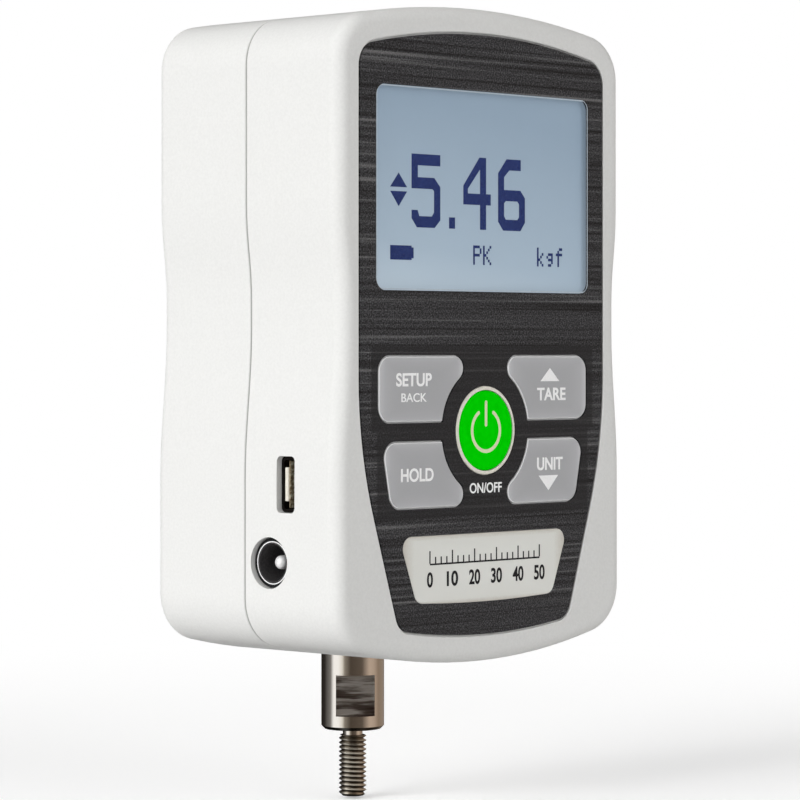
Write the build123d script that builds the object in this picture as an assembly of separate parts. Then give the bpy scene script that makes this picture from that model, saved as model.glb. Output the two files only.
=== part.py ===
"""Hand-held digital force gauge, millimetres.

The front faces -Y, the loading shaft points down, and the origin is the centre of the dowel hole
in the flat rear face. A depth is measured forwards from the rear face, so it lies at Y = -depth.
Front-view outlines are drawn as (X, Z).
"""

from build123d import *
import math
import os

# Housing: two painted aluminium castings that meet at mid depth
body_height = 111.3
body_depth = 43.5
top_half_width = 36.15
waist_draw_in = 1.2
hip_overhang = 0.3
shoulder_z = 18.5
waist_top_z = 9.0
waist_bottom_z = -3.0
hip_z = -20.0
crown_drop = 3.9
foot_rise = 5.0
top_corner_radius = 8.0
bottom_corner_radius = 8.5
shoulder_bend_radius = 60.0
hip_bend_radius = 100.0
front_edge_radius = 2.4
rear_edge_radius = 2.2
side_wall = 2.5
rear_wall = 2.5
front_wall = 3.0
seam_bevel = 0.25
seam_to_socket = 1.43

# Lip of the rear casting that registers in a rebate of the front casting
lip_thickness = 1.2
lip_length = 1.2
lip_clearance = 0.15

# Faceplate film, set in a recess of the front
overlay_recess = 0.6
overlay_thickness = 0.5
overlay_gap = 0.3
recess_bevel = 0.15
film_gap = 0.1
bezel_side_width = 5.2
bezel_top_width = 4.58
bezel_bottom_width = 4.79
overlay_foot_inset = 15.05
overlay_crown = 3.57
overlay_foot_bow = 1.66
overlay_taper_height = 30.35
overlay_knee_radius = 77.0
overlay_top_corner_radius = 4.2
overlay_bottom_corner_radius = 3.5

# Display window and the display module behind it
window_side_margin = 3.95
window_top_margin = 9.68
window_to_keys = 11.11
window_corner_radius = 2.0
window_thickness = 1.0
window_set_back = 0.05
pane_gap = 0.15
glass_border_x = 3.0
glass_border_z = 2.0
glass_thickness = 2.0
glass_clearance = 0.3
backlight_thickness = 4.32
tray_sheet = 0.6
tray_clearance = 0.2
tray_gap_to_wall = 0.3

# Power key, its pale ring and their common centre
button_height = 34.64
button_radius = 6.79
button_flange_radius = 7.6
ring_gap = 0.12
ring_outer_radius = 7.54
ring_foot_radius = 8.6
ring_foot_thickness = 0.5
ring_stands_proud = 0.05

# Four keys round the power key
upper_key_top_rise = 12.6
upper_key_foot_rise = 1.77
lower_key_top_drop = 1.74
lower_key_foot_drop = 12.62
key_side_margin = 4.45
lower_key_inset = 0.85
lower_key_foot_inset = 3.0
key_arc_radius = 11.1
key_lobe_radius = 2.0
key_corner_radius = 2.5
key_stands_proud = 0.05
key_edge_bevel = 0.15
key_gap = 0.25
key_flange = 0.8
key_flange_thickness = 0.6
key_rest_gap = 0.05
key_travel = 0.5
key_floor_gap = 0.1
key_post_radius = 1.5
key_post_clearance = 0.2

# Rating label, let into the faceplate
label_bottom_margin = 5.56
label_height = 11.63
label_bow = 0.5
label_top_inset = 9.45
label_foot_inset = 4.1
label_corner_radius = 2.0
label_thickness = 0.45

# Screw holes, and the slots of the screws' heads against their radius and height
tapped_clearance = 0.05
screw_clearance = 0.25
slot_width_ratio = 0.5
slot_depth_ratio = 0.4

# Main board and the push switches on it
board_thickness = 1.6
board_edge_clearance = 1.0
switch_size = 6.0
switch_to_wall = 0.9
switch_well_radius = 1.75
switch_well_depth = 1.2
post_entry = 0.2
standoff_radius = 2.8
upper_standoff_inset_x = 12.15
upper_standoff_inset_z = 8.05
lower_standoff_inset_x = 9.95
lower_standoff_inset_z = 10.05
board_screw_radius = 1.0
board_screw_bite = 3.6
board_screw_head_radius = 2.2
board_screw_head_height = 1.6
chip_height = 1.2
chips = [(10.0, -28.0, 10.0, 10.0), (-6.0, -27.0, 6.0, 5.0), (13.0, -12.0, 5.0, 4.0)]

# Data socket on the left side
usb_height = 30.9
usb_slot_height = 9.4
usb_slot_thickness = 4.2
usb_corner_radius = 0.9
usb_side_clearance = 0.1
usb_face_clearance = 0.05
usb_recess = 1.2
usb_sheet = 0.3
usb_length = 7.3
usb_tongue_thickness = 0.9
usb_tongue_height = 6.8
usb_tongue_recess = 0.9

# Power socket on the left side
jack_height = 17.8
jack_hole_radius = 4.3
jack_clearance = 0.2
jack_recess = 0.9
jack_bore_radius = 3.15
jack_bore_length = 9.0
jack_body_depth = 11.9
jack_body_width = 9.0
jack_body_length = 12.8
jack_pin_radius = 1.15
jack_pin_recess = 2.4
jack_pin_tip_bevel = 0.5

# Captive screws that hold the two castings together
captive_to_side = 6.15
captive_below_window = 7.49
captive_column_radius = 4.2
captive_boss_radius = 3.6
captive_radius = 1.5
captive_head_radius = 2.9
captive_head_height = 3.0
captive_head_recess = 1.0
captive_head_clearance = 0.4
captive_bite = 8.0
captive_ring_radius = 3.0
captive_ring_thickness = 0.6
captive_ring_pocket = 0.8

# Mounting interface in the rear face
insert_inset_x = 7.575
insert_inset_z = 14.375
insert_radius = 2.4
insert_hole_radius = 1.42
insert_length = 6.35
insert_seat_clearance = 0.05
insert_boss_radius = 3.9
insert_boss_depth = 8.0
dowel_insert_radius = 6.35
dowel_hole_radius = 2.39
dowel_hole_depth = 4.8
dowel_insert_length = 5.4

# Load cell, an aluminium S-shaped beam
cell_half_width = 13.0
cell_thickness = 12.7
cell_rear_depth = 5.55
cell_top_z = 8.0
cell_height_above_foot = 11.65
cell_slot_width = 1.6
cell_slot_end = 7.0
cell_fixed_end = 16.0
cell_loaded_end = 14.0
cell_hole_radius = 4.5
cell_hole_spacing = 10.0
cell_screw_x = 9.6
cell_screw_z = 4.2
cell_screw_radius = 1.5
cell_screw_head_radius = 2.75
cell_screw_head_height = 3.0
cell_screw_bite = 4.0
gauge_width = 5.0
gauge_height = 4.0
gauge_thickness = 0.15
gauge_offset_z = 4.5

# Loading shaft
shaft_radius = 5.55
shaft_reach = 13.7
shaft_chamfer = 0.6
shaft_wall_clearance = 0.6
spigot_radius = 3.0
spigot_length = 8.0
spigot_clearance = 0.05
stud_length = 11.85
stud_radius = 2.41
stud_neck_radius = 2.0
stud_neck_length = 1.1
stud_chamfer = 0.5
flat_across = 8.73
flat_drop = 4.35
flat_height = 7.2
flat_angle = -40.0

# Battery, its foam pad and its bracket
battery_side_room = 11.9
battery_top_room = 5.15
battery_bottom_z = 24.0
battery_thickness = 17.5
battery_corner_radius = 2.0
battery_pad_thickness = 0.6
battery_pad_margin = 1.5
bracket_sheet = 0.8
bracket_half_width = 12.0
bracket_stops_short = 4.6
bracket_clearance = 0.1
bracket_foot_length = 10.0
bracket_pad_depth = 5.5
bracket_screw_x = 8.0
bracket_screw_radius = 1.25
bracket_screw_head_radius = 2.3
bracket_screw_head_height = 1.6
bracket_screw_bite = 3.6
plug_length = 4.6
plug_height = 12.0
plug_thickness = 12.0
plug_gap = 0.2
plug_to_boss = 1.375

# Sensor connector and the two leads, which are flat ribbons that bend in one plane
sensor_lead_x = -4.0
sensor_lead_z = -2.0
connector_z = -13.5
connector_width = 8.0
connector_height = 5.0
connector_thickness = 5.0
battery_lead_to_captive = 19.0
lead_width = 3.0
lead_thickness = 0.9
lead_bend_radius = 1.2
lead_straight_ratio = 0.4

# Widths and heights that follow from the sizes above
half_height = body_height / 2
waist_half_width = top_half_width - waist_draw_in
lower_half_width = top_half_width + hip_overhang
wall_x = -lower_half_width
overlay_half_width = top_half_width - bezel_side_width
overlay_foot_half_width = lower_half_width - overlay_foot_inset
overlay_top_z = half_height - bezel_top_width
overlay_top_corner_z = overlay_top_z - overlay_crown
overlay_bottom_z = bezel_bottom_width - half_height
overlay_foot_corner_z = overlay_bottom_z + overlay_foot_bow
overlay_knee_z = overlay_foot_corner_z + overlay_taper_height
button_z = overlay_bottom_z + button_height
key_outer_x = overlay_half_width - key_side_margin
key_top_z = button_z + upper_key_top_rise
key_mid_upper_z = button_z + upper_key_foot_rise
key_mid_lower_z = button_z - lower_key_top_drop
key_bottom_z = button_z - lower_key_foot_drop
window_bottom_z = key_top_z + window_to_keys
window_width = 2 * (overlay_half_width - window_side_margin)
window_height = overlay_top_z - window_top_margin - window_bottom_z
window_centre_z = window_bottom_z + window_height / 2
glass_width = window_width + 2 * glass_border_x
glass_height = window_height + 2 * glass_border_z
label_bottom_z = overlay_bottom_z + label_bottom_margin
label_foot_corner_z = label_bottom_z + label_bow
label_top_z = label_bottom_z + label_height
label_top_half_width = overlay_half_width - label_top_inset
label_foot_half_width = overlay_foot_half_width - label_foot_inset
usb_z = usb_height - half_height
jack_z = jack_height - half_height
cell_bottom_z = cell_height_above_foot - half_height
cell_upper_slot_z = cell_top_z - cell_fixed_end
cell_lower_slot_z = cell_bottom_z + cell_loaded_end
cell_middle_z = (cell_upper_slot_z + cell_lower_slot_z) / 2
shaft_shoulder_z = -half_height - shaft_reach
shaft_tip_z = shaft_shoulder_z - stud_length
flat_top_z = -half_height - flat_drop
battery_length = 2 * (top_half_width - battery_side_room)
battery_height = half_height - battery_top_room - battery_bottom_z
battery_centre_z = battery_bottom_z + battery_height / 2
bracket_foot_top_z = battery_bottom_z - bracket_clearance - bracket_sheet
bracket_foot_low_z = bracket_foot_top_z - bracket_foot_length

# Depths that follow, from the front face backwards
overlay_back = body_depth - overlay_recess
overlay_front = overlay_back + overlay_thickness
front_wall_back = body_depth - front_wall
window_front = overlay_front - window_set_back
window_back = window_front - window_thickness
glass_front = window_back - pane_gap
glass_back = glass_front - glass_thickness
tray_front = front_wall_back - tray_gap_to_wall
tray_floor = glass_back - backlight_thickness
board_front = tray_floor - tray_sheet
board_rear = board_front - board_thickness
switch_front = front_wall_back - switch_to_wall
key_front = overlay_front + key_stands_proud
key_flange_front = overlay_back - key_rest_gap
key_flange_back = key_flange_front - key_flange_thickness
key_post_tip = switch_front - post_entry
ring_front = overlay_front + ring_stands_proud
ring_foot_back = overlay_back - ring_foot_thickness
button_flange_front = ring_foot_back - key_rest_gap
button_flange_back = button_flange_front - key_flange_thickness
usb_depth = board_rear - usb_slot_thickness / 2 + usb_face_clearance
jack_depth = board_rear - jack_body_depth / 2
seam_depth = jack_depth - jack_hole_radius - seam_to_socket
captive_tip_depth = seam_depth + captive_bite

# Depths that follow, from the rear face forwards
captive_head_back = captive_head_recess + captive_head_height
cell_front_depth = cell_rear_depth + cell_thickness
shaft_depth = cell_rear_depth + cell_thickness / 2
battery_back = rear_wall + battery_pad_thickness
battery_front = battery_back + battery_thickness
plug_front = (battery_back + battery_front + plug_thickness) / 2

# Places of what repeats
insert_x = top_half_width - insert_inset_x
insert_z = half_height - insert_inset_z
plug_low_z = insert_z - insert_boss_radius - plug_to_boss - plug_height
insert_places = [(-insert_x, -insert_z), (-insert_x, insert_z), (insert_x, -insert_z), (insert_x, insert_z)]
captive_x = waist_half_width - captive_to_side
captive_z = window_bottom_z - captive_below_window
captive_places = [(-captive_x, captive_z), (captive_x, captive_z)]
cell_screw_places = [(-cell_screw_x, cell_screw_z), (cell_screw_x, cell_screw_z)]
bracket_screw_z = (bracket_foot_top_z + bracket_foot_low_z) / 2
bracket_screw_places = [(-bracket_screw_x, bracket_screw_z), (bracket_screw_x, bracket_screw_z)]
upper_standoff_x = top_half_width - upper_standoff_inset_x
upper_standoff_z = half_height - upper_standoff_inset_z
lower_standoff_x = lower_half_width - lower_standoff_inset_x
lower_standoff_z = lower_standoff_inset_z - half_height
standoff_places = [
    (-upper_standoff_x, upper_standoff_z),
    (upper_standoff_x, upper_standoff_z),
    (-lower_standoff_x, lower_standoff_z),
    (lower_standoff_x, lower_standoff_z),
]
keys = {
    "setup_key": (True, -1),
    "tare_key": (True, 1),
    "hold_key": (False, -1),
    "units_key": (False, 1),
}


def slab(outline, back, front):
    """Front-view outline made solid between two depths."""
    return extrude(Plane.XZ.offset(back) * outline, amount=front - back)


def disc(x, z, radius, back, front):
    """Round bar along the depth."""
    return slab(Pos(x, z) * Circle(radius), back, front)


def box_between(low_x, high_x, low_z, high_z, back, front):
    """Plain block between two corners."""
    outline = Pos((low_x + high_x) / 2, (low_z + high_z) / 2) * Rectangle(high_x - low_x, high_z - low_z)
    return slab(outline, back, front)


def rounded(outline, corners, radius):
    """Outline with the vertices nearest to some corners rounded."""
    picked = [outline.vertices().sort_by_distance(Vector(x, z, 0))[0] for x, z in corners]
    return fillet(picked, radius)


def both_sides(points):
    """Points of the right half and their mirror images."""
    return points + [(-x, z) for x, z in points]


def symmetric_outline(right_side, top_z, bottom_z):
    """Outline from the right side's points, closed by an arc over the top and one below."""
    left_side = [(-x, z) for x, z in right_side]
    edges = [
        ThreePointArc(left_side[0], (0, top_z), right_side[0]),
        *Polyline(*right_side).edges(),
        ThreePointArc(right_side[-1], (0, bottom_z), left_side[-1]),
        *Polyline(*left_side).edges(),
    ]
    return make_face(Curve() + edges)


def straight_topped_outline(right_side, bottom_z):
    """Outline with a straight top and an arc below."""
    left_side = [(-x, z) for x, z in right_side]
    edges = [
        Line(left_side[0], right_side[0]),
        *Polyline(*right_side).edges(),
        ThreePointArc(right_side[-1], (0, bottom_z), left_side[-1]),
        *Polyline(*left_side).edges(),
    ]
    return make_face(Curve() + edges)


def housing_outline():
    """Front view of the housing: crowned ends, and sides that draw in at a waist."""
    top_corner = (top_half_width, half_height - crown_drop)
    bottom_corner = (lower_half_width, -half_height + foot_rise)
    shoulder = (top_half_width, shoulder_z)
    waist_top = (waist_half_width, waist_top_z)
    waist_bottom = (waist_half_width, waist_bottom_z)
    hip = (lower_half_width, hip_z)
    side = [top_corner, shoulder, waist_top, waist_bottom, hip, bottom_corner]
    outline = symmetric_outline(side, half_height, -half_height)
    outline = rounded(outline, both_sides([shoulder, waist_top]), shoulder_bend_radius)
    outline = rounded(outline, both_sides([waist_bottom, hip]), hip_bend_radius)
    outline = rounded(outline, both_sides([top_corner]), top_corner_radius)
    return rounded(outline, both_sides([bottom_corner]), bottom_corner_radius)


def overlay_outline():
    """Faceplate film: crowned top, straight sides that turn in and taper to the foot."""
    top_corner = (overlay_half_width, overlay_top_corner_z)
    knee = (overlay_half_width, overlay_knee_z)
    foot_corner = (overlay_foot_half_width, overlay_foot_corner_z)
    outline = symmetric_outline([top_corner, knee, foot_corner], overlay_top_z, overlay_bottom_z)
    outline = rounded(outline, both_sides([knee]), overlay_knee_radius)
    outline = rounded(outline, both_sides([top_corner]), overlay_top_corner_radius)
    return rounded(outline, both_sides([foot_corner]), overlay_bottom_corner_radius)


def label_outline():
    """Rating label: straight top, tapered sides, bowed foot."""
    top_corner = (label_top_half_width, label_top_z)
    foot_corner = (label_foot_half_width, label_foot_corner_z)
    outline = straight_topped_outline([top_corner, foot_corner], label_bottom_z)
    return rounded(outline, both_sides([top_corner, foot_corner]), label_corner_radius)


def window_outline():
    """Display window."""
    return Pos(0, window_centre_z) * RectangleRounded(window_width, window_height, window_corner_radius)


def key_outline(upper, side):
    """Cap of a key beside the power key: hollow flank, a lobe at its far end, a sharp near corner."""
    if upper:
        outer_z, inner_z = key_top_z, key_mid_upper_z
        far_x, near_x = key_outer_x, key_outer_x
        lobe_z = outer_z - key_lobe_radius
    else:
        outer_z, inner_z = key_bottom_z, key_mid_lower_z
        far_x, near_x = key_outer_x - lower_key_foot_inset, key_outer_x - lower_key_inset
        lobe_z = outer_z + key_lobe_radius
    reach = key_arc_radius + key_lobe_radius
    lobe_rise = lobe_z - button_z
    lobe_x = math.sqrt(reach**2 - lobe_rise**2)
    near_rise = inner_z - button_z
    touch_angle = math.atan2(lobe_rise, lobe_x)
    near_angle = math.asin(near_rise / key_arc_radius)

    def on_flank(angle):
        return side * key_arc_radius * math.cos(angle), button_z + key_arc_radius * math.sin(angle)

    touch = on_flank(touch_angle)
    near = on_flank(near_angle)
    edges = [
        Line(near, (side * near_x, inner_z)),
        Line((side * near_x, inner_z), (side * far_x, outer_z)),
        Line((side * far_x, outer_z), (side * lobe_x, outer_z)),
        ThreePointArc((side * lobe_x, outer_z), (side * (lobe_x - key_lobe_radius), lobe_z), touch),
        ThreePointArc(touch, on_flank((touch_angle + near_angle) / 2), near),
    ]
    outline = make_face(Curve() + edges)
    return rounded(outline, [(side * near_x, inner_z), (side * far_x, outer_z)], key_corner_radius)


def key_post_place(upper, side):
    """Place of a key's post, midway between its hollow flank and its outer edge."""
    x = side * (key_arc_radius + key_outer_x) / 2
    if upper:
        return x, (key_top_z + key_mid_upper_z) / 2
    return x, (key_mid_lower_z + key_bottom_z) / 2


post_places = [key_post_place(upper, side) for upper, side in keys.values()] + [(0, button_z)]
shell_outline = housing_outline()
inner_outline = offset(shell_outline, -side_wall)


def key_cap(outline, post, front, flange_outline, flange_front, flange_back):
    """Moulded key: cap with bevelled edges, flange that keeps it in, and post to its switch."""
    cap = slab(outline, flange_front, front)
    cap = chamfer(cap.faces().sort_by(Axis.Y)[0].edges(), key_edge_bevel)
    flange = slab(flange_outline, flange_back, flange_front)
    return cap + flange + disc(*post, key_post_radius, key_post_tip, flange_back)


def make_keys():
    """Four grey keys round the power key."""
    made = {}
    for name, (upper, side) in keys.items():
        outline = key_outline(upper, side)
        flange = offset(outline, key_flange)
        post = key_post_place(upper, side)
        made[name] = key_cap(outline, post, key_front, flange, key_flange_front, key_flange_back)
    return made


def make_power_key():
    """Round power key."""
    outline = Pos(0, button_z) * Circle(button_radius)
    flange = Pos(0, button_z) * Circle(button_flange_radius)
    return key_cap(
        outline, (0, button_z), key_front, flange, button_flange_front, button_flange_back
    )


def make_power_ring():
    """Pale ring round the power key, held by its foot under the film."""
    foot = disc(0, button_z, ring_foot_radius, ring_foot_back, overlay_back)
    rim = disc(0, button_z, ring_outer_radius, overlay_back, ring_front)
    rim = chamfer(rim.faces().sort_by(Axis.Y)[0].edges(), key_edge_bevel)
    hole = disc(0, button_z, button_radius + ring_gap, ring_foot_back, ring_front)
    return foot + rim - hole


def make_front_housing():
    """Front casting: recessed face, display opening, key pockets, bosses and two sockets' openings."""
    shell = slab(shell_outline, seam_depth, body_depth)
    shell = fillet(shell.faces().sort_by(Axis.Y)[0].edges(), front_edge_radius)
    shell = chamfer(shell.faces().sort_by(Axis.Y)[-1].edges(), seam_bevel)
    shell -= slab(inner_outline, seam_depth, front_wall_back)
    rebate = offset(shell_outline, lip_thickness + lip_clearance - side_wall)
    shell -= slab(rebate, seam_depth, seam_depth + lip_length + lip_clearance)
    for place in captive_places:
        shell += disc(*place, captive_boss_radius, seam_depth, front_wall_back)
    for place in standoff_places:
        shell += disc(*place, standoff_radius, board_front, front_wall_back)
    shell -= slab(offset(overlay_outline(), overlay_gap), overlay_back, body_depth)
    recess_edge = shell.faces().sort_by(Axis.Y)[0].inner_wires()[0].edges()
    shell = chamfer(recess_edge, recess_bevel)
    opening = Rectangle(glass_width + 2 * glass_clearance, glass_height + 2 * glass_clearance)
    shell -= slab(Pos(0, window_centre_z) * opening, front_wall_back, overlay_back)
    for upper, side in keys.values():
        pocket = offset(key_outline(upper, side), key_flange + key_gap)
        shell -= slab(pocket, key_flange_back - key_travel - key_floor_gap, overlay_back)
    pocket_radius = button_flange_radius + key_gap
    shell -= disc(
        0, button_z, pocket_radius, button_flange_back - key_travel - key_floor_gap, ring_foot_back
    )
    shell -= disc(0, button_z, ring_foot_radius + film_gap, ring_foot_back, overlay_back)
    for place in post_places:
        shell -= disc(*place, key_post_radius + key_post_clearance, front_wall_back, overlay_back)
    for place in captive_places:
        tapped = captive_radius + tapped_clearance
        shell -= disc(*place, tapped, seam_depth, captive_tip_depth + captive_radius)
    for place in standoff_places:
        tapped = board_screw_radius + tapped_clearance
        shell -= disc(*place, tapped, board_front, board_front + board_screw_bite + board_screw_radius / 2)
    shell -= side_cut(usb_slot_outline(0), usb_depth, usb_z)
    shell -= side_cut(Circle(jack_hole_radius), jack_depth, jack_z)
    return shell - shaft_hole()


def shaft_hole():
    """Cutter for the loading shaft's hole in the foot."""
    hole = Cylinder(shaft_radius + shaft_wall_clearance, 4 * side_wall)
    return Pos(0, -shaft_depth, -half_height) * hole


def usb_slot_outline(inset):
    """Rounded slot of the data socket, seen from the side, drawn in by an inset."""
    width = usb_slot_thickness - 2 * inset
    return RectangleRounded(width, usb_slot_height - 2 * inset, usb_corner_radius - inset / 2)


def side_bar(outline, depth, z, start_x, end_x):
    """Side-view outline made solid between two places across the width."""
    plane = Plane(origin=(start_x, -depth, z), x_dir=(0, 1, 0), z_dir=(1, 0, 0))
    return extrude(plane * outline, amount=end_x - start_x)


def side_cut(outline, depth, z):
    """Cutter through the left wall."""
    return side_bar(outline, depth, z, wall_x - side_wall, wall_x + 2 * side_wall)


def make_rear_housing():
    """Rear casting: lip, column for each captive screw, bosses, pad for the load cell, shaft hole."""
    shell = slab(shell_outline, 0, seam_depth)
    shell = fillet(shell.faces().sort_by(Axis.Y)[-1].edges(), rear_edge_radius)
    shell = chamfer(shell.faces().sort_by(Axis.Y)[0].edges(), seam_bevel)
    shell -= slab(inner_outline, rear_wall, seam_depth)
    lip = slab(offset(shell_outline, lip_thickness - side_wall), rear_wall, seam_depth + lip_length)
    shell += lip - slab(inner_outline, rear_wall, seam_depth + lip_length)
    for place in captive_places:
        shell += disc(*place, captive_column_radius, rear_wall, seam_depth)
    for place in insert_places:
        shell += disc(*place, insert_boss_radius, rear_wall, insert_boss_depth)
    shell += box_between(
        -cell_half_width, cell_half_width, cell_upper_slot_z, cell_top_z, rear_wall, cell_rear_depth
    )
    shell += box_between(
        -bracket_half_width, bracket_half_width, bracket_foot_low_z, bracket_foot_top_z, rear_wall,
        bracket_pad_depth,
    )
    for place in captive_places:
        shell -= disc(*place, captive_head_radius + captive_head_clearance, 0, captive_head_back)
        shell -= disc(*place, captive_radius + screw_clearance, 0, seam_depth)
        pocket = captive_ring_radius + screw_clearance
        shell -= disc(*place, pocket, seam_depth - captive_ring_pocket, seam_depth)
    for place in insert_places:
        seat = insert_radius + insert_seat_clearance
        shell -= disc(*place, seat, 0, insert_length + insert_seat_clearance)
    dowel_seat = dowel_insert_radius + insert_seat_clearance
    shell -= disc(0, 0, dowel_seat, 0, dowel_insert_length + insert_seat_clearance)
    for place in cell_screw_places:
        tapped = cell_screw_radius + tapped_clearance
        shell -= disc(*place, tapped, cell_rear_depth - cell_screw_bite - tapped_clearance, cell_rear_depth)
    for place in bracket_screw_places:
        tapped = bracket_screw_radius + tapped_clearance
        bottom = bracket_pad_depth - bracket_screw_bite - tapped_clearance
        shell -= disc(*place, tapped, bottom, bracket_pad_depth)
    return shell - shaft_hole()


def make_overlay():
    """Printed film with openings for the window, the keys, the ring and the label."""
    film = slab(overlay_outline(), overlay_back, overlay_front)
    film -= slab(offset(window_outline(), film_gap), overlay_back, overlay_front)
    for upper, side in keys.values():
        film -= slab(offset(key_outline(upper, side), key_gap), overlay_back, overlay_front)
    film -= disc(0, button_z, ring_outer_radius + film_gap, overlay_back, overlay_front)
    return film - slab(offset(label_outline(), film_gap), overlay_back, overlay_front)


def make_display():
    """Window pane, display glass, backlight and the sheet-metal tray that holds them."""
    centre = Pos(0, window_centre_z)
    blank = Rectangle(glass_width, glass_height)
    room = Rectangle(glass_width + 2 * tray_clearance, glass_height + 2 * tray_clearance)
    rim = tray_clearance + tray_sheet
    outside = Rectangle(glass_width + 2 * rim, glass_height + 2 * rim)
    tray = slab(centre * outside, board_front, tray_front)
    tray -= slab(centre * room, tray_floor, tray_front)
    return {
        "display_window": slab(window_outline(), window_back, window_front),
        "lcd_glass": slab(centre * blank, glass_back, glass_front),
        "lcd_backlight": slab(centre * blank, tray_floor, glass_back),
        "lcd_tray": tray,
    }


def make_board():
    """Main board, following the inside of the housing, notched round the captive screw bosses."""
    outline = offset(inner_outline, -board_edge_clearance)
    board = slab(outline, board_rear, board_front)
    for x, z in captive_places:
        notch = captive_boss_radius + board_edge_clearance / 2
        board -= disc(x, z, notch, board_rear, board_front)
        reach = x + math.copysign(2 * notch, x)
        board -= box_between(min(x, reach), max(x, reach), z - notch, z + notch, board_rear, board_front)
    for place in standoff_places:
        hole = board_screw_radius + screw_clearance
        board -= disc(*place, hole, board_rear, board_front)
    return board


def make_switches():
    """Five push switches, each with a well that the key's post presses in."""
    made = []
    for x, z in post_places:
        body = slab(Pos(x, z) * Rectangle(switch_size, switch_size), board_front, switch_front)
        well = disc(x, z, switch_well_radius, switch_front - switch_well_depth, switch_front)
        made.append(body - well)
    return made


def cheese_head_screw(place, radius, head_radius, head_back, head_front, tip):
    """Screw along the depth, with a slotted cylindrical head away from its tip."""
    x, z = place
    head_height = head_front - head_back
    seat, outer_face = (head_front, head_back) if tip > head_front else (head_back, head_front)
    slot_floor = outer_face + math.copysign(slot_depth_ratio * head_height, tip - outer_face)
    half_slot = slot_width_ratio * radius / 2
    head = disc(x, z, head_radius, head_back, head_front)
    shank = disc(x, z, radius, min(seat, tip), max(seat, tip))
    slot = box_between(
        x - half_slot, x + half_slot, z - head_radius, z + head_radius,
        min(outer_face, slot_floor), max(outer_face, slot_floor),
    )
    return head + shank - slot


def make_board_screws():
    """Four screws that hold the board on the front casting's standoffs."""
    head_back = board_rear - board_screw_head_height
    tip = board_front + board_screw_bite
    return [
        cheese_head_screw(
            place, board_screw_radius, board_screw_head_radius, head_back, board_rear, tip
        )
        for place in standoff_places
    ]


def make_captive_screws():
    """Two slotted screws, entered from the rear, that clamp the castings together."""
    return [
        cheese_head_screw(
            place, captive_radius, captive_head_radius, captive_head_recess, captive_head_back,
            captive_tip_depth,
        )
        for place in captive_places
    ]


def make_captive_rings():
    """Washers that keep the two screws in the rear casting when it is lifted off."""
    back = seam_depth - captive_ring_pocket
    made = []
    for place in captive_places:
        ring = disc(*place, captive_ring_radius, back, back + captive_ring_thickness)
        hole = disc(*place, captive_radius + screw_clearance / 2, back, seam_depth)
        made.append(ring - hole)
    return made


def make_usb():
    """Data socket: drawn metal shell soldered on the board, and the tongue inside it."""
    start_x = wall_x + usb_recess
    end_x = start_x + usb_length
    outside = usb_slot_outline(usb_face_clearance)
    outside = outside & Rectangle(usb_slot_thickness, usb_slot_height - 2 * usb_side_clearance)
    shell = side_bar(outside, usb_depth, usb_z, start_x, end_x)
    cavity_end = end_x - usb_sheet
    shell -= side_bar(usb_slot_outline(2 * usb_sheet), usb_depth, usb_z, start_x, cavity_end)
    tongue = Rectangle(usb_tongue_thickness, usb_tongue_height)
    tongue = side_bar(tongue, usb_depth, usb_z, start_x + usb_tongue_recess, cavity_end)
    return {"usb_shell": shell, "usb_tongue": tongue}


def make_jack():
    """Power socket: black moulded body with a barrel in the wall, and its centre pin."""
    body_start = wall_x + side_wall + jack_clearance
    barrel_start = wall_x + jack_recess
    body = side_bar(
        Rectangle(jack_body_depth, jack_body_width), jack_depth, jack_z, body_start,
        body_start + jack_body_length,
    )
    barrel_radius = jack_hole_radius - jack_clearance
    body += side_bar(Circle(barrel_radius), jack_depth, jack_z, barrel_start, body_start)
    bore_end = barrel_start + jack_bore_length
    body -= side_bar(Circle(jack_bore_radius), jack_depth, jack_z, barrel_start, bore_end)
    pin = side_bar(Circle(jack_pin_radius), jack_depth, jack_z, wall_x + jack_pin_recess, bore_end)
    tip_edges = pin.faces().sort_by(Axis.X)[0].edges()
    return {"power_jack_body": body, "power_jack_pin": chamfer(tip_edges, jack_pin_tip_bevel)}


def make_mounting_inserts():
    """Four threaded inserts in the rear face."""
    made = []
    for place in insert_places:
        hole = disc(*place, insert_hole_radius, 0, insert_length)
        made.append(disc(*place, insert_radius, 0, insert_length) - hole)
    return made


def make_dowel_insert():
    """Hardened insert with the dowel hole, at the centre of the rear face."""
    return disc(0, 0, dowel_insert_radius, 0, dowel_insert_length) - disc(
        0, 0, dowel_hole_radius, 0, dowel_hole_depth
    )


def make_load_cell():
    """Aluminium S-beam: a slot from each side and two joined holes between them."""
    beam = box_between(
        -cell_half_width, cell_half_width, cell_bottom_z, cell_top_z, cell_rear_depth, cell_front_depth
    )
    for edge, slot_z in ((-cell_half_width, cell_upper_slot_z), (cell_half_width, cell_lower_slot_z)):
        inner_end = -math.copysign(cell_slot_end, edge)
        beam -= box_between(
            min(edge, inner_end), max(edge, inner_end), slot_z - cell_slot_width / 2,
            slot_z + cell_slot_width / 2, cell_rear_depth, cell_front_depth,
        )
    for x in (-cell_hole_spacing / 2, cell_hole_spacing / 2):
        beam -= disc(x, cell_middle_z, cell_hole_radius, cell_rear_depth, cell_front_depth)
    beam -= box_between(
        -cell_hole_spacing / 2, cell_hole_spacing / 2, cell_middle_z - cell_slot_width / 2,
        cell_middle_z + cell_slot_width / 2, cell_rear_depth, cell_front_depth,
    )
    for place in cell_screw_places:
        beam -= disc(*place, cell_screw_radius + screw_clearance, cell_rear_depth, cell_front_depth)
    bore = Cylinder(
        spigot_radius + spigot_clearance, spigot_length + 2 * spigot_clearance,
        align=(Align.CENTER, Align.CENTER, Align.MIN),
    )
    return beam - Pos(0, -shaft_depth, cell_bottom_z) * bore


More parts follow.
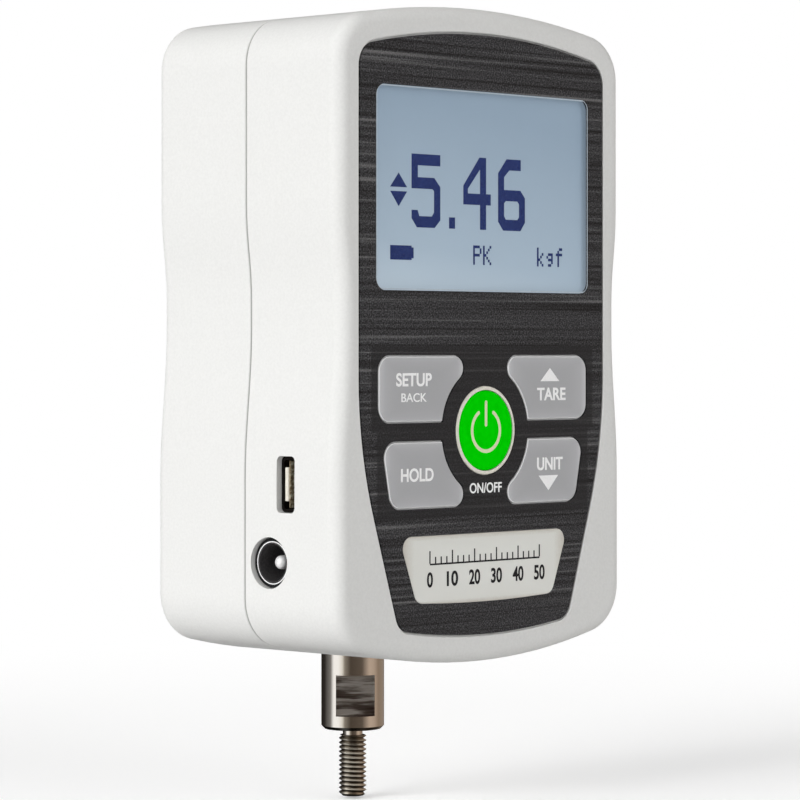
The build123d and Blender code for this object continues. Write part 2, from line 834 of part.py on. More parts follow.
def make_strain_gauges():
    """Four foil gauges bonded on the beam's flanks beside the holes."""
    made = []
    for side in (-1, 1):
        for z in (cell_middle_z - gauge_offset_z, cell_middle_z + gauge_offset_z):
            start = side * cell_half_width
            low, high = sorted((start, start + side * gauge_thickness))
            made.append(side_bar(Rectangle(gauge_width, gauge_height), shaft_depth, z, low, high))
    return made


def make_load_cell_screws():
    """Two screws through the beam's fixed end into the rear casting."""
    return [
        cheese_head_screw(
            place, cell_screw_radius, cell_screw_head_radius, cell_front_depth,
            cell_front_depth + cell_screw_head_height, cell_rear_depth - cell_screw_bite,
        )
        for place in cell_screw_places
    ]


def make_loading_shaft():
    """Turned steel shaft: spigot in the beam, body with wrench flats, neck and stud."""
    profile = make_face(
        Polyline(
            (0, cell_bottom_z + spigot_length),
            (spigot_radius, cell_bottom_z + spigot_length),
            (spigot_radius, cell_bottom_z),
            (shaft_radius, cell_bottom_z),
            (shaft_radius, shaft_shoulder_z + shaft_chamfer),
            (shaft_radius - shaft_chamfer, shaft_shoulder_z),
            (stud_neck_radius, shaft_shoulder_z),
            (stud_neck_radius, shaft_shoulder_z - stud_neck_length),
            (stud_radius, shaft_shoulder_z - stud_neck_length),
            (stud_radius, shaft_tip_z + stud_chamfer),
            (stud_radius - stud_chamfer, shaft_tip_z),
            (0, shaft_tip_z),
            close=True,
        )
    )
    shaft = revolve(Plane.XZ * profile, Axis.Z)
    flat_centre_z = flat_top_z - flat_height / 2
    for side in (-1, 1):
        cut = Pos(0, side * (flat_across / 2 + shaft_radius), flat_centre_z)
        shaft -= cut * Box(4 * shaft_radius, 2 * shaft_radius, flat_height)
    return Pos(0, -shaft_depth, 0) * Rot(0, 0, flat_angle) * shaft


def make_battery():
    """Rectangular rechargeable pack on a foam pad."""
    centre = Pos(0, battery_centre_z)
    outline = centre * RectangleRounded(battery_length, battery_height, battery_corner_radius)
    margin = 2 * battery_pad_margin
    pad = centre * Rectangle(battery_length - margin, battery_height - margin)
    return {
        "battery_pack": slab(outline, battery_back, battery_front),
        "battery_pad": slab(pad, rear_wall, battery_back),
    }


def make_battery_bracket():
    """Folded strap over the battery, with a foot screwed on the rear casting."""
    outer_z = battery_bottom_z - bracket_clearance
    front = battery_front + bracket_sheet
    half = bracket_half_width
    strap_end = battery_bottom_z + battery_height - bracket_stops_short
    strap = box_between(-half, half, outer_z, strap_end, battery_front, front)
    strap += box_between(-half, half, outer_z - bracket_sheet, outer_z, bracket_pad_depth, front)
    foot_top = bracket_pad_depth + bracket_sheet
    strap += box_between(-half, half, bracket_foot_low_z, bracket_foot_top_z, bracket_pad_depth, foot_top)
    for place in bracket_screw_places:
        strap -= disc(*place, bracket_screw_radius + screw_clearance, bracket_pad_depth, foot_top)
    return strap


def make_bracket_screws():
    """Two screws in the bracket's foot."""
    foot_top = bracket_pad_depth + bracket_sheet
    return [
        cheese_head_screw(
            place, bracket_screw_radius, bracket_screw_head_radius, foot_top,
            foot_top + bracket_screw_head_height, bracket_pad_depth - bracket_screw_bite,
        )
        for place in bracket_screw_places
    ]


def make_battery_plug():
    """Snap plug on the battery's contacts."""
    low_x = battery_length / 2 + plug_gap
    return box_between(
        low_x, low_x + plug_length, plug_low_z, plug_low_z + plug_height,
        plug_front - plug_thickness, plug_front,
    )


def lead(x, start_z, start_depth, end_z, end_depth):
    """Flat lead across the width at one place, between two faces that look along the depth."""
    straight = lead_straight_ratio * (end_depth - start_depth)
    route = [
        (x, -start_depth, start_z),
        (x, -start_depth - straight, start_z),
        (x, -end_depth + straight, end_z),
        (x, -end_depth, end_z),
    ]
    path = FilletPolyline(*route, radius=lead_bend_radius)
    start = Plane(origin=route[0], x_dir=(1, 0, 0), z_dir=(0, -1, 0))
    return sweep(start * Rectangle(lead_width, lead_thickness), path)


def make_leads():
    """Sensor connector and the leads of the load cell and the battery."""
    connector_back = board_rear - connector_thickness
    connector = box_between(
        sensor_lead_x - connector_width / 2, sensor_lead_x + connector_width / 2,
        connector_z - connector_height / 2, connector_z + connector_height / 2,
        connector_back, board_rear,
    )
    plug_x = battery_length / 2 + plug_gap + plug_length / 2
    plug_z = plug_low_z + plug_height / 2
    board_z = captive_z + battery_lead_to_captive
    return {
        "sensor_connector": connector,
        "sensor_lead": lead(sensor_lead_x, sensor_lead_z, cell_front_depth, connector_z, connector_back),
        "battery_lead": lead(plug_x, plug_z, plug_front, board_z, board_rear),
    }


def make_chips():
    """Processor, amplifier and memory on the rear of the board."""
    return [
        slab(Pos(x, z) * Rectangle(width, height), board_rear - chip_height, board_rear)
        for x, z, width, height in chips
    ]


parts = {
    "front_housing": make_front_housing(),
    "rear_housing": make_rear_housing(),
    "faceplate_overlay": make_overlay(),
    "rating_label": slab(label_outline(), overlay_back, overlay_back + label_thickness),
    "power_key": make_power_key(),
    "power_ring": make_power_ring(),
    "main_board": make_board(),
    "tact_switches": make_switches(),
    "board_chips": make_chips(),
    "board_screws": make_board_screws(),
    "captive_screws": make_captive_screws(),
    "captive_rings": make_captive_rings(),
    "mounting_inserts": make_mounting_inserts(),
    "dowel_insert": make_dowel_insert(),
    "load_cell": make_load_cell(),
    "strain_gauges": make_strain_gauges(),
    "load_cell_screws": make_load_cell_screws(),
    "loading_shaft": make_loading_shaft(),
    "battery_bracket": make_battery_bracket(),
    "bracket_screws": make_bracket_screws(),
    "battery_plug": make_battery_plug(),
}
parts.update(make_keys())
parts.update(make_display())
parts.update(make_usb())
parts.update(make_jack())
parts.update(make_battery())
parts.update(make_leads())

os.makedirs("parts", exist_ok=True)
for name, solid in parts.items():
    if isinstance(solid, list):
        solid = Compound(children=solid)
    export_step(solid, f"parts/{name}.step")
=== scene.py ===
import math
import bmesh
import bpy
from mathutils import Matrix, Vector


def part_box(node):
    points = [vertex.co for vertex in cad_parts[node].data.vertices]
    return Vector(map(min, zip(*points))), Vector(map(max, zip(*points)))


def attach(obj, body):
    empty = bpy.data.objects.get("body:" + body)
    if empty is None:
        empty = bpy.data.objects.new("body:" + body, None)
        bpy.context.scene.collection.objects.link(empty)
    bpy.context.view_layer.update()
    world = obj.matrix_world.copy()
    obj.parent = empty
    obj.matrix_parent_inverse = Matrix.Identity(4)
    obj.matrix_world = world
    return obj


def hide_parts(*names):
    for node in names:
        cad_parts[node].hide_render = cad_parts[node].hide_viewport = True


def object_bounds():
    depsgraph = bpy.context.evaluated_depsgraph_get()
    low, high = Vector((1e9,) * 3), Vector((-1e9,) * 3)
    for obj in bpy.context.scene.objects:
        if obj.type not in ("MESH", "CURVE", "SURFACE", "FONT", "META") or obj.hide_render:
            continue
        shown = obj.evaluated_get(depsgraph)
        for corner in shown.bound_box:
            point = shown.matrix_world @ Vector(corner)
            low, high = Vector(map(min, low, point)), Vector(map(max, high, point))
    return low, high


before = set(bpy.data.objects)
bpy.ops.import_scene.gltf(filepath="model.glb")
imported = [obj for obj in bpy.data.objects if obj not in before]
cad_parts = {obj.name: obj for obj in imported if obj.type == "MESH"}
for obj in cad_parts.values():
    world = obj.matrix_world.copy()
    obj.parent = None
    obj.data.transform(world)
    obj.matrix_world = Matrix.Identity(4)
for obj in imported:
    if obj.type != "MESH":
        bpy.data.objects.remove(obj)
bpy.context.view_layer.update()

MM = 0.001

# The view
# A long lens on a level camera, turned to the left of the front, with the frame shifted up
# so that the housing's upright edges stay upright.
camera_place = Vector((-432.5, -428.8, -2.48)) * MM
camera_turn = math.radians(-46.85)
camera_focal_px = 3397.7
photo_width_px = 800
horizon_px = 349.74
sensor_width = 36.0

lens = bpy.data.cameras.new("lens")
lens.sensor_width = sensor_width
lens.lens = sensor_width * camera_focal_px / photo_width_px
lens.shift_y = (horizon_px - photo_width_px / 2) / photo_width_px
lens.clip_start = 10 * MM
lens.clip_end = 20.0
camera = bpy.data.objects.new("camera", lens)
camera.location = camera_place
camera.rotation_euler = (math.radians(90), 0, camera_turn)
bpy.context.scene.collection.objects.link(camera)
bpy.context.scene.camera = camera


# Housing
# Two die-cast aluminium shells under a baked powder coat, which leaves a fine grain and a matt,
# even white. They meet at mid depth, where the joint's shadow is painted into the coat as a thin dark line.
def colour(code):
    """An sRGB hex colour as linear values."""
    levels = [int(code[i:i + 2], 16) / 255 for i in (1, 3, 5)]
    return [v / 12.92 if v <= 0.04045 else ((v + 0.055) / 1.055) ** 2.4 for v in levels] + [1]


def add(tree, kind, inputs=(), **settings):
    """Adds a node. Inputs go by place or by name, and may be other nodes' outputs."""
    made = tree.nodes.new("ShaderNode" + kind)
    for name, value in settings.items():
        setattr(made, name, value)
    pairs = inputs.items() if isinstance(inputs, dict) else enumerate(inputs)
    for place, value in pairs:
        if isinstance(value, bpy.types.NodeSocket):
            tree.links.new(value, made.inputs[place])
        elif value is not None:
            made.inputs[place].default_value = value
    return made


def material(name, base, roughness, **sockets):
    """A new material: its tree, its shader and the place of a point on the piece."""
    made = bpy.data.materials.new(name)
    made.use_nodes = True
    tree = made.node_tree
    shader = tree.nodes["Principled BSDF"]
    shader.inputs["Base Color"].default_value = colour(base)
    shader.inputs["Roughness"].default_value = roughness
    for socket, value in sockets.items():
        shader.inputs[socket.replace("_", " ")].default_value = value
    return made, tree, shader, add(tree, "TexCoord").outputs["Object"]


def tones(tree, factor, stops):
    """Turns a factor into colours: stops are (position, hex colour)."""
    ramp = add(tree, "ValToRGB", {"Fac": factor})
    while len(ramp.color_ramp.elements) < len(stops):
        ramp.color_ramp.elements.new(0.5)
    for element, (position, code) in zip(ramp.color_ramp.elements, stops):
        element.position = position
        element.color = colour(code)
    return ramp.outputs["Color"]


def dress(made, *nodes):
    """Gives CAD nodes a material."""
    for name in nodes:
        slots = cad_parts[name].data.materials
        slots.clear()
        slots.append(made)


powder_grain = 0.45 * MM
powder_relief = 0.025 * MM
seam_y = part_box("front_housing")[1].y
seam_half_width = 0.09 * MM
powder_coat, tree, shader, place = material("powder_coated_aluminium", "#dfdfdc", 0.6)
grain = add(tree, "TexNoise", {"Vector": place, "Scale": 1 / powder_grain, "Detail": 2.0})
coat = tones(tree, grain.outputs["Fac"], [(0.3, "#dddddb"), (0.7, "#e2e2e0")])
depth = add(tree, "SeparateXYZ", [place])
# Painted shade: a thin band along the joint between the shells is darkened to stand for the shadow in the
# joint.
from_seam = add(tree, "Math", [depth.outputs["Y"], -seam_y], operation="ADD")
from_seam = add(tree, "Math", [from_seam.outputs[0]], operation="ABSOLUTE")
seam_shadow = add(tree, "MapRange", {
    "Value": from_seam.outputs[0], "From Min": seam_half_width, "From Max": 2.2 * seam_half_width})
coat_and_seam_shadow = add(tree, "Mix", {0: seam_shadow.outputs["Result"], 6: colour("#a6a6a3"), 7: coat}, data_type="RGBA")
bump = add(tree, "Bump", {"Height": grain.outputs["Fac"], "Strength": 0.6, "Distance": powder_relief})
tree.links.new(coat_and_seam_shadow.outputs[2], shader.inputs["Base Color"])
tree.links.new(bump.outputs["Normal"], shader.inputs["Normal"])
dress(powder_coat, "front_housing", "rear_housing")

# Faceplate
# A polycarbonate film, printed on its rear in near black with a brushed pattern: long level lines
# over a grain of light specks, left plain in a border round each key.
film_line_length = 110 * MM
film_line_width = 0.7 * MM
film_grain = 0.26 * MM
key_border = 1.0 * MM
border_print = 0.3
power_border_radius = 14.5 * MM
keys = ("setup_key", "tare_key", "hold_key", "units_key")
power_low, power_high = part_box("power_key")
power_centre = (power_low + power_high) / 2

film, tree, shader, place = material("printed_polycarbonate_film", "#5a5a5c", 0.45, Specular_IOR_Level=0.15)
across = add(tree, "Mapping", {"Vector": place, "Scale": (1 / film_line_length, 1, 1 / film_line_width)})
bands = add(tree, "TexNoise", {"Vector": across.outputs["Vector"], "Scale": 1.0, "Detail": 3.0})
lines = tones(tree, bands.outputs["Fac"], [
    (0.0, "#000000"), (0.57, "#000000"), (0.62, "#363635"), (0.7, "#585756")])
shades = tones(tree, bands.outputs["Fac"], [(0.32, "#363638"), (0.52, "#5a5a5d")])
specks = add(tree, "TexNoise", {"Vector": place, "Scale": 1 / film_grain, "Detail": 1.0})
grain = tones(tree, specks.outputs["Fac"], [(0.32, "#6c6c6c"), (0.52, "#b4b4b4"), (0.66, "#ffffff")])
grained = add(tree, "Mix", {0: 1.0, 6: shades, 7: grain}, data_type="RGBA", blend_type="MULTIPLY")
printed = add(tree, "Mix", {0: 1.0, 6: grained.outputs[2], 7: lines}, data_type="RGBA", blend_type="ADD")
flat_place = add(tree, "VectorMath", [place, (1, 0, 1)], operation="MULTIPLY").outputs[0]
from_power = add(tree, "VectorMath", [flat_place, (0, 0, power_centre.z)], operation="DISTANCE")
gap = add(tree, "Math", [from_power.outputs["Value"], key_border - power_border_radius], operation="ADD")
for key in keys:
    low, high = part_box(key)
    middle = ((low.x + high.x) / 2, 0, (low.z + high.z) / 2)
    half = ((high.x - low.x) / 2, 1, (high.z - low.z) / 2)
    offset = add(tree, "VectorMath", [flat_place, middle], operation="SUBTRACT")
    offset = add(tree, "VectorMath", [offset.outputs[0]], operation="ABSOLUTE")
    offset = add(tree, "VectorMath", [offset.outputs[0], half], operation="SUBTRACT")
    parts = add(tree, "SeparateXYZ", [offset.outputs[0]])
    reach = add(tree, "Math", [parts.outputs["X"], parts.outputs["Z"]], operation="MAXIMUM")
    gap = add(tree, "Math", [gap.outputs[0], reach.outputs[0]], operation="MINIMUM")
bordered = add(tree, "MapRange", {
    "Value": gap.outputs[0], "From Min": key_border * 0.8, "From Max": key_border * 1.2})
plain = add(tree, "Mix", {0: border_print, 6: colour("#2a2a2c"), 7: printed.outputs[2]}, data_type="RGBA")
whole = add(tree, "Mix", {0: bordered.outputs["Result"], 6: plain.outputs[2], 7: printed.outputs[2]},
            data_type="RGBA")
tree.links.new(whole.outputs[2], shader.inputs["Base Color"])
dress(film, "faceplate_overlay")

# Display window
# A clear acrylic pane let into the film, polished so that it is hardly seen, with a thin pale line
# printed round it.
pane, tree, shader, place = material("clear_acrylic", "#10141a", 0.08, Alpha=0.05)
smear = add(tree, "TexNoise", {"Vector": place, "Scale": 60.0, "Detail": 2.0})
gloss = add(tree, "MapRange", {"Value": smear.outputs["Fac"], "To Min": 0.05, "To Max": 0.11})
tree.links.new(gloss.outputs["Result"], shader.inputs["Roughness"])
dress(pane, "display_window")

# Display glass
# A liquid crystal panel lit from behind: pale grey blue, brighter towards its foot and its left.
lcd_low, lcd_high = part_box("lcd_glass")
sideways_share = 0.2
lcd, tree, shader, place = material("lcd_polariser", "#91a2b1", 0.35, Emission_Strength=0.6,
                                    Specular_IOR_Level=0.1)
parts = add(tree, "SeparateXYZ", [place])
climb = add(tree, "MapRange", {"Value": parts.outputs["Z"], "From Min": lcd_low.z, "From Max": lcd_high.z})
reach = add(tree, "MapRange", {"Value": parts.outputs["X"], "From Min": lcd_low.x, "From Max": lcd_high.x})
spread = add(tree, "Math", [reach.outputs["Result"], sideways_share, climb.outputs["Result"]],
             operation="MULTIPLY_ADD")
glow = tones(tree, spread.outputs[0], [(0.06, "#a9b7c2"), (0.3, "#96a6b4"), (0.95, "#8495a5")])
tree.links.new(glow, shader.inputs["Base Color"])
tree.links.new(glow, shader.inputs["Emission Color"])
dress(lcd, "lcd_glass")

# Readout
# Dark segments in the display: three digits with a point, the direction arrows, the battery bar
# and two short words in the display's own coarse letters.
bar_height = 1.9
stem_width = 1.55
digit_foot = 18.0
word_foot = 12.0
marks_left = -23.6
segment_thickness = 0.02
segment_gap = 0.02
parallax = 1.1


def flat_shape(name, outlines, made, body, front, thickness, where=(0, 0)):
    """Closed outlines, in millimetres as (x, z), made a thin plate on a front-facing surface.
    An outline inside another is a hole in it."""
    curve = bpy.data.curves.new(name, "CURVE")
    curve.dimensions = "2D"
    curve.fill_mode = "BOTH"
    curve.extrude = thickness / 2 * MM
    for outline in outlines:
        spline = curve.splines.new("POLY")
        spline.points.add(len(outline) - 1)
        spline.use_cyclic_u = True
        for point, (x, z) in zip(spline.points, outline):
            point.co = ((where[0] + x) * MM, (where[1] + z) * MM, 0, 1)
    return settle(curve, name, made, body, front, thickness)


def settle(curve, name, made, body, front, thickness):
    """Turns a flat curve into a mesh that stands upright on a surface and rides on a body."""
    scratch = bpy.data.objects.new(name + ".curve", curve)
    bpy.context.scene.collection.objects.link(scratch)
    bpy.context.view_layer.update()
    mesh = bpy.data.meshes.new_from_object(scratch.evaluated_get(bpy.context.evaluated_depsgraph_get()))
    bpy.data.objects.remove(scratch)
    depth = front * MM + thickness / 2 * MM
    for vertex in mesh.vertices:
        x, z, lift = vertex.co
        vertex.co = (x, -depth - lift, z)
    mesh.name = name
    mesh.materials.clear()
    mesh.materials.append(made)
    piece = bpy.data.objects.new(name, mesh)
    bpy.context.scene.collection.objects.link(piece)
    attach(piece, body)
    return piece


def block(x, z, width, height):
    """Corners of a rectangle from its lower left one."""
    return [(x, z), (x + width, z), (x + width, z + height), (x, z + height)]


five = [[
    (0, 12.3), (7.1, 12.3), (7.1, 10.4), (stem_width, 10.4), (stem_width, 8.4), (5.6, 8.4), (7.1, 6.9),
    (7.1, 1.3), (5.7, 0), (1.3, 0), (0, 1.5), (0, 2.9), (1.5, 2.9), (1.9, bar_height),
    (5.0, bar_height), (5.55, 2.6), (5.55, 6.2), (5.1, 6.5), (0, 6.5)]]
four = [
    [(4.1, 12.3), (5.8, 12.3), (5.8, 6.1), (7.0, 6.1), (7.0, 4.2), (5.8, 4.2), (5.8, 0), (4.25, 0),
     (4.25, 4.2), (0, 4.2), (0, 7.4)],
    [(4.25, 10.3), (4.25, 6.1), (1.15, 6.1), (1.15, 6.9)]]
six = [
    [(2.2, 12.3), (5.9, 12.3), (5.9, 10.4), (2.9, 10.4), (stem_width, 9.2), (stem_width, 7.0),
     (5.8, 7.0), (7.0, 5.7), (7.0, 1.5), (5.8, 0), (1.3, 0), (0, 1.5), (0, 9.8)],
    [(stem_width, 4.7), (2.0, 5.1), (5.0, 5.1), (5.45, 4.6), (5.45, 2.4), (5.0, bar_height),
     (2.0, bar_height), (stem_width, 2.5)]]
point = [block(0, 0, 1.5, bar_height)]
push_arrow = [[(0, 0), (4.1, 0), (2.05, 2.4)]]
pull_arrow = [[(0, 2.5), (4.1, 2.5), (2.05, 0)]]
battery = [[(0, 0), (5.2, 0), (5.2, 0.3), (5.7, 0.3), (5.7, 2.1), (5.2, 2.1), (5.2, 2.4), (0, 2.4)]]
letters = {
    "P": ("####.", "#...#", "#...#", "####.", "#....", "#....", "#...."),
    "K": ("#...#", "#..#.", "#.#..", "##...", "#.#..", "#..#.", "#...#"),
    "k": ("#....", "#....", "#..#.", "#.#..", "##...", "#.#..", "#..#."),
    "g": (".....", ".....", ".###.", "#..#.", ".###.", "...#.", ".##.."),
    "f": ("..##.", ".#...", "####.", ".#...", ".#...", ".#...", ".#..."),
}
letter_pitch = 6
dot_width = 0.42
dot_height = 0.47


def dotted(word):
    """A word in the display's own letters: one block for each run of dots in a row."""
    blocks = []
    for place_in_word, letter in enumerate(word):
        rows = letters[letter]
        for row, dots in enumerate(rows):
            column = 0
            for run in dots.replace(".", " ").split():
                column = dots.index(run, column)
                x = (place_in_word * letter_pitch + column) * dot_width
                z = (len(rows) - 1 - row) * dot_height
                blocks.append(block(x, z, len(run) * dot_width, dot_height))
                column += len(run)
    return blocks


def mottle(tree, place, size, detail, stops):
    """Makes a material's base colour uneven: the patches' size, and their tones."""
    patches = add(tree, "TexNoise", {"Vector": place, "Scale": 1 / size, "Detail": detail})
    shader = tree.nodes["Principled BSDF"]
    tree.links.new(tones(tree, patches.outputs["Fac"], stops), shader.inputs["Base Color"])


segment_ink, tree, shader, place = material("lcd_segment", "#2f3d74", 0.4, Specular_IOR_Level=0.1)
mottle(tree, place, size=0.45 * MM, detail=1.0, stops=[(0.2, "#2a3870"), (0.8, "#3a4a86")])
lcd_front = -lcd_low.y / MM + segment_gap
readout = {
    "digit_five": (five, -18.4, digit_foot),
    "digit_point": (point, -9.1, digit_foot),
    "digit_four": (four, -5.5, digit_foot),
    "digit_six": (six, 3.4, digit_foot),
    "push_arrow": (push_arrow, marks_left, 24.6),
    "pull_arrow": (pull_arrow, marks_left, 21.4),
    "battery_bar": (battery, marks_left, 12.5),
    "mode_word": (dotted("PK"), -3.0, word_foot),
    "unit_word": (dotted("kgf"), 13.6, word_foot),
}
for name, (outlines, x, z) in readout.items():
    flat_shape(name, outlines, segment_ink, "housing", lcd_front, segment_thickness, (x + parallax, z))


def rounded(low, high, inset, radius, steps=6):
    """Outline of a rectangle with round corners, drawn in from a node's box by an inset."""
    outline = []
    left, right = low.x / MM + inset + radius, high.x / MM - inset - radius
    foot, top = low.z / MM + inset + radius, high.z / MM - inset - radius
    corners = [(right, top), (left, top), (left, foot), (right, foot)]
    for quarter, (x, z) in enumerate(corners):
        for step in range(steps + 1):
            angle = math.pi / 2 * (quarter + step / steps)
            outline.append((x + radius * math.cos(angle), z + radius * math.sin(angle)))
    return outline


window_low, window_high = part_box("display_window")
rim_width = 0.2
rim_radius = 1.5
rim_thickness = 0.02
rim_ink, tree, shader, place = material("screen_printed_pale_grey", "#b8c5cf", 0.5)
mottle(tree, place, size=0.3 * MM, detail=2.0, stops=[(0.2, "#aebbc6"), (0.8, "#c2ced8")])
rim = [
    rounded(window_low, window_high, 0, rim_radius),
    rounded(window_low, window_high, rim_width, rim_radius - rim_width),
]
flat_shape("window_rim", rim, rim_ink, "housing", -window_low.y / MM, rim_thickness)

# Keys
# Grey moulded caps that stand just proud of the film, painted paler towards their edges and near
# white on their rims as painted highlight, with their legends pad-printed in white.
def towards_edge(tree, squarings):
    """A point's place in its piece's box, and how near it is to the edge: 0 in the middle, 1 at
    the edge. Each squaring keeps the rise closer to the edge."""
    generated = add(tree, "TexCoord").outputs["Generated"]
    rise = add(tree, "VectorMath", [generated, (2, 0, 2), (-1, 0, -1)], operation="MULTIPLY_ADD")
    for _ in range(squarings):
        rise = add(tree, "VectorMath", [rise.outputs[0], rise.outputs[0]], operation="MULTIPLY")
    parts = add(tree, "SeparateXYZ", [rise.outputs[0]])
    return generated, add(tree, "Math", [parts.outputs["X"], parts.outputs["Z"]], operation="MAXIMUM")


key_plastic, tree, shader, place = material("moulded_abs_grey", "#b4b4b6", 0.45, Specular_IOR_Level=0.1)
key_face_share = 0.002
key_mottle = 0.12
# Painted light: each cap pales towards its edges and turns near white on its chamfered rim, a painted
# highlight; the patches on top are random tone.
key_place, edge = towards_edge(tree, 2)
front_place = add(tree, "SeparateXYZ", [key_place])
broken = add(tree, "Math", [front_place.outputs["Y"], key_face_share], operation="GREATER_THAN")
edge = add(tree, "Math", [edge.outputs[0], broken.outputs[0]], operation="MAXIMUM")
patches = add(tree, "TexNoise", {"Vector": place, "Scale": 1 / (0.3 * MM), "Detail": 2.0})
mixed = add(tree, "Math", [patches.outputs["Fac"], key_mottle, edge.outputs[0]], operation="MULTIPLY_ADD")
pale = tones(tree, mixed.outputs[0], [
    (0.0, "#aeaeb0"), (0.45, "#b8b8ba"), (0.95, "#d4d4d6"), (1.0, "#f4f4f4")])
tree.links.new(pale, shader.inputs["Base Color"])
dress(key_plastic, *keys)

legend_ink, tree, shader, place = material("pad_printed_white", "#ffffff", 0.5)
mottle(tree, place, size=0.3 * MM, detail=2.0, stops=[(0.2, "#f8f8f8"), (0.6, "#ffffff")])
cap_height_of_font = 0.73
ink_thickness = 0.03


def legend(name, words, made, body, front, x, z, height, width, bold=0.035):
    """Printed words, centred on x with their foot at z, of a cap height and a whole width."""
    text = bpy.data.curves.new(name, "FONT")
    text.body = words
    text.align_x = "CENTER"
    text.size = height * MM / cap_height_of_font
    text.offset = bold * height * MM
    text.extrude = ink_thickness / 2 * MM
    piece = settle(text, name, made, body, front, ink_thickness)
    xs = [vertex.co.x for vertex in piece.data.vertices]
    stretch = width * MM / (max(xs) - min(xs))
    middle = (max(xs) + min(xs)) / 2
    for vertex in piece.data.vertices:
        vertex.co.x = (vertex.co.x - middle) * stretch + x * MM
        vertex.co.z += z * MM
    return piece


key_front = -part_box("setup_key")[0].y / MM
film_front = -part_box("faceplate_overlay")[0].y / MM
legend("setup_legend", "SETUP", legend_ink, "setup_key", key_front,
       x=-18.0, z=-8.5, height=2.2, width=8.7)
legend("back_legend", "BACK", legend_ink, "setup_key", key_front,
       x=-18.0, z=-11.15, height=1.5, width=6.2, bold=0.015)
legend("tare_legend", "TARE", legend_ink, "tare_key", key_front,
       x=17.1, z=-11.2, height=2.2, width=7.6)
legend("hold_legend", "HOLD", legend_ink, "hold_key", key_front,
       x=-17.2, z=-24.4, height=2.2, width=8.0)
legend("units_legend", "UNIT", legend_ink, "units_key", key_front,
       x=16.7, z=-23.3, height=2.2, width=6.8)
legend("power_legend", "ON/OFF", legend_ink, "housing", film_front,
       x=0.0, z=-26.8, height=1.75, width=8.2, bold=0.025)
zero_arrow = [[(-2.5, 0), (2.5, 0), (0, 2.3)]]
units_arrow = [[(-2.6, 2.6), (2.6, 2.6), (0, 0)]]
flat_shape("tare_arrow", zero_arrow, legend_ink, "tare_key", key_front, ink_thickness,
           where=(16.7, -7.95))
flat_shape("units_arrow", units_arrow, legend_ink, "units_key", key_front, ink_thickness,
           where=(16.3, -26.9))

# Power key
# A green moulded button in a pale ring, with the power sign printed on it. The plastic is matt, so
# its green stays full and even.
green_plastic, tree, shader, place = material("moulded_abs_green", "#00dc00", 0.5, Specular_IOR_Level=0.0)
mottle(tree, place, size=1.2 * MM, detail=1.0, stops=[(0.2, "#00d500"), (0.8, "#04e204")])
dress(green_plastic, "power_key")
ring_plastic, tree, shader, place = material("moulded_abs_ivory", "#e8e4d8", 0.4, Specular_IOR_Level=0.2)
mottle(tree, place, size=0.8 * MM, detail=1.0, stops=[(0.2, "#e2ded2"), (0.8, "#f2eee2")])
dress(ring_plastic, "power_ring")
sign_ink, tree, shader, place = material("pad_printed_cream", "#e2e8be", 0.5)
mottle(tree, place, size=0.3 * MM, detail=2.0, stops=[(0.2, "#dde4b6"), (0.8, "#e9eec9")])

sign_radius = 3.55
sign_stroke = 0.62
sign_gap = math.radians(32)
sign_steps = 40
end_steps = 6
bar_low = 0.65
bar_high = 5.1


def arc(centre, radius, start, end, steps):
    """Points along an arc, from one angle to another."""
    angles = [start + (end - start) * step / steps for step in range(steps + 1)]
    return [(centre[0] + radius * math.cos(angle), centre[1] + radius * math.sin(angle)) for angle in angles]


half = sign_stroke / 2
start = math.pi / 2 + sign_gap
end = math.pi * 5 / 2 - sign_gap
end_middle = (sign_radius * math.cos(end), sign_radius * math.sin(end))
start_middle = (sign_radius * math.cos(start), sign_radius * math.sin(start))
open_ring = (
    arc((0, 0), sign_radius + half, start, end, sign_steps)
    + arc(end_middle, half, end, end + math.pi, end_steps)[1:-1]
    + arc((0, 0), sign_radius - half, end, start, sign_steps)
    + arc(start_middle, half, start + math.pi, start + 2 * math.pi, end_steps)[1:-1]
)
bar = (
    arc((0, bar_high - half), half, 0, math.pi, end_steps)
    + arc((0, bar_low + half), half, math.pi, 2 * math.pi, end_steps)
)
power_front = -power_low.y / MM
flat_shape("power_sign", [open_ring, bar], sign_ink, "power_key", power_front, ink_thickness,
           where=(0, power_centre.z / MM))

# Rating label
# A pale satin film let into the faceplate, darker towards its edge as painted shade from its recess,
# with a plain load scale printed on it in black.
label_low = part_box("rating_label")[0]
label_film, tree, shader, place = material("satin_label_film", "#e3e3de", 0.5, Specular_IOR_Level=0.2)
label_mottle = 0.1
# Painted shade: the film darkens towards its edge, standing for the shadow of the recess it is let into.
edge = towards_edge(tree, 1)[1]
shade = add(tree, "TexNoise", {"Vector": place, "Scale": 1 / (0.3 * MM), "Detail": 2.0})
mixed = add(tree, "Math", [shade.outputs["Fac"], label_mottle, edge.outputs[0]], operation="MULTIPLY_ADD")
tree.links.new(
    tones(tree, mixed.outputs[0], [(0.1, "#e8e8e3"), (0.8, "#e4e4de"), (1.0, "#d2cec5")]),
    shader.inputs["Base Color"])
dress(label_film, "rating_label")
label_ink, tree, shader, place = material("screen_printed_black", "#26262a", 0.5, Specular_IOR_Level=0.2)
mottle(tree, place, size=0.3 * MM, detail=2.0, stops=[(0.2, "#19191c"), (0.8, "#2a2a2e")])
label_front = -label_low.y / MM
scale_line_z = -38.6
scale_half_width = 14.0
scale_parts = 20
numbered_parts = 4
load_per_number = 10
tick_width = 0.28
tick_height = 1.1
long_tick_height = 2.1
number_drop = 3.6
number_height = 2.5
figure_pitch = 1.35
figure_spare = 0.1
ticks = [block(-scale_half_width, scale_line_z, 2 * scale_half_width, tick_width)]
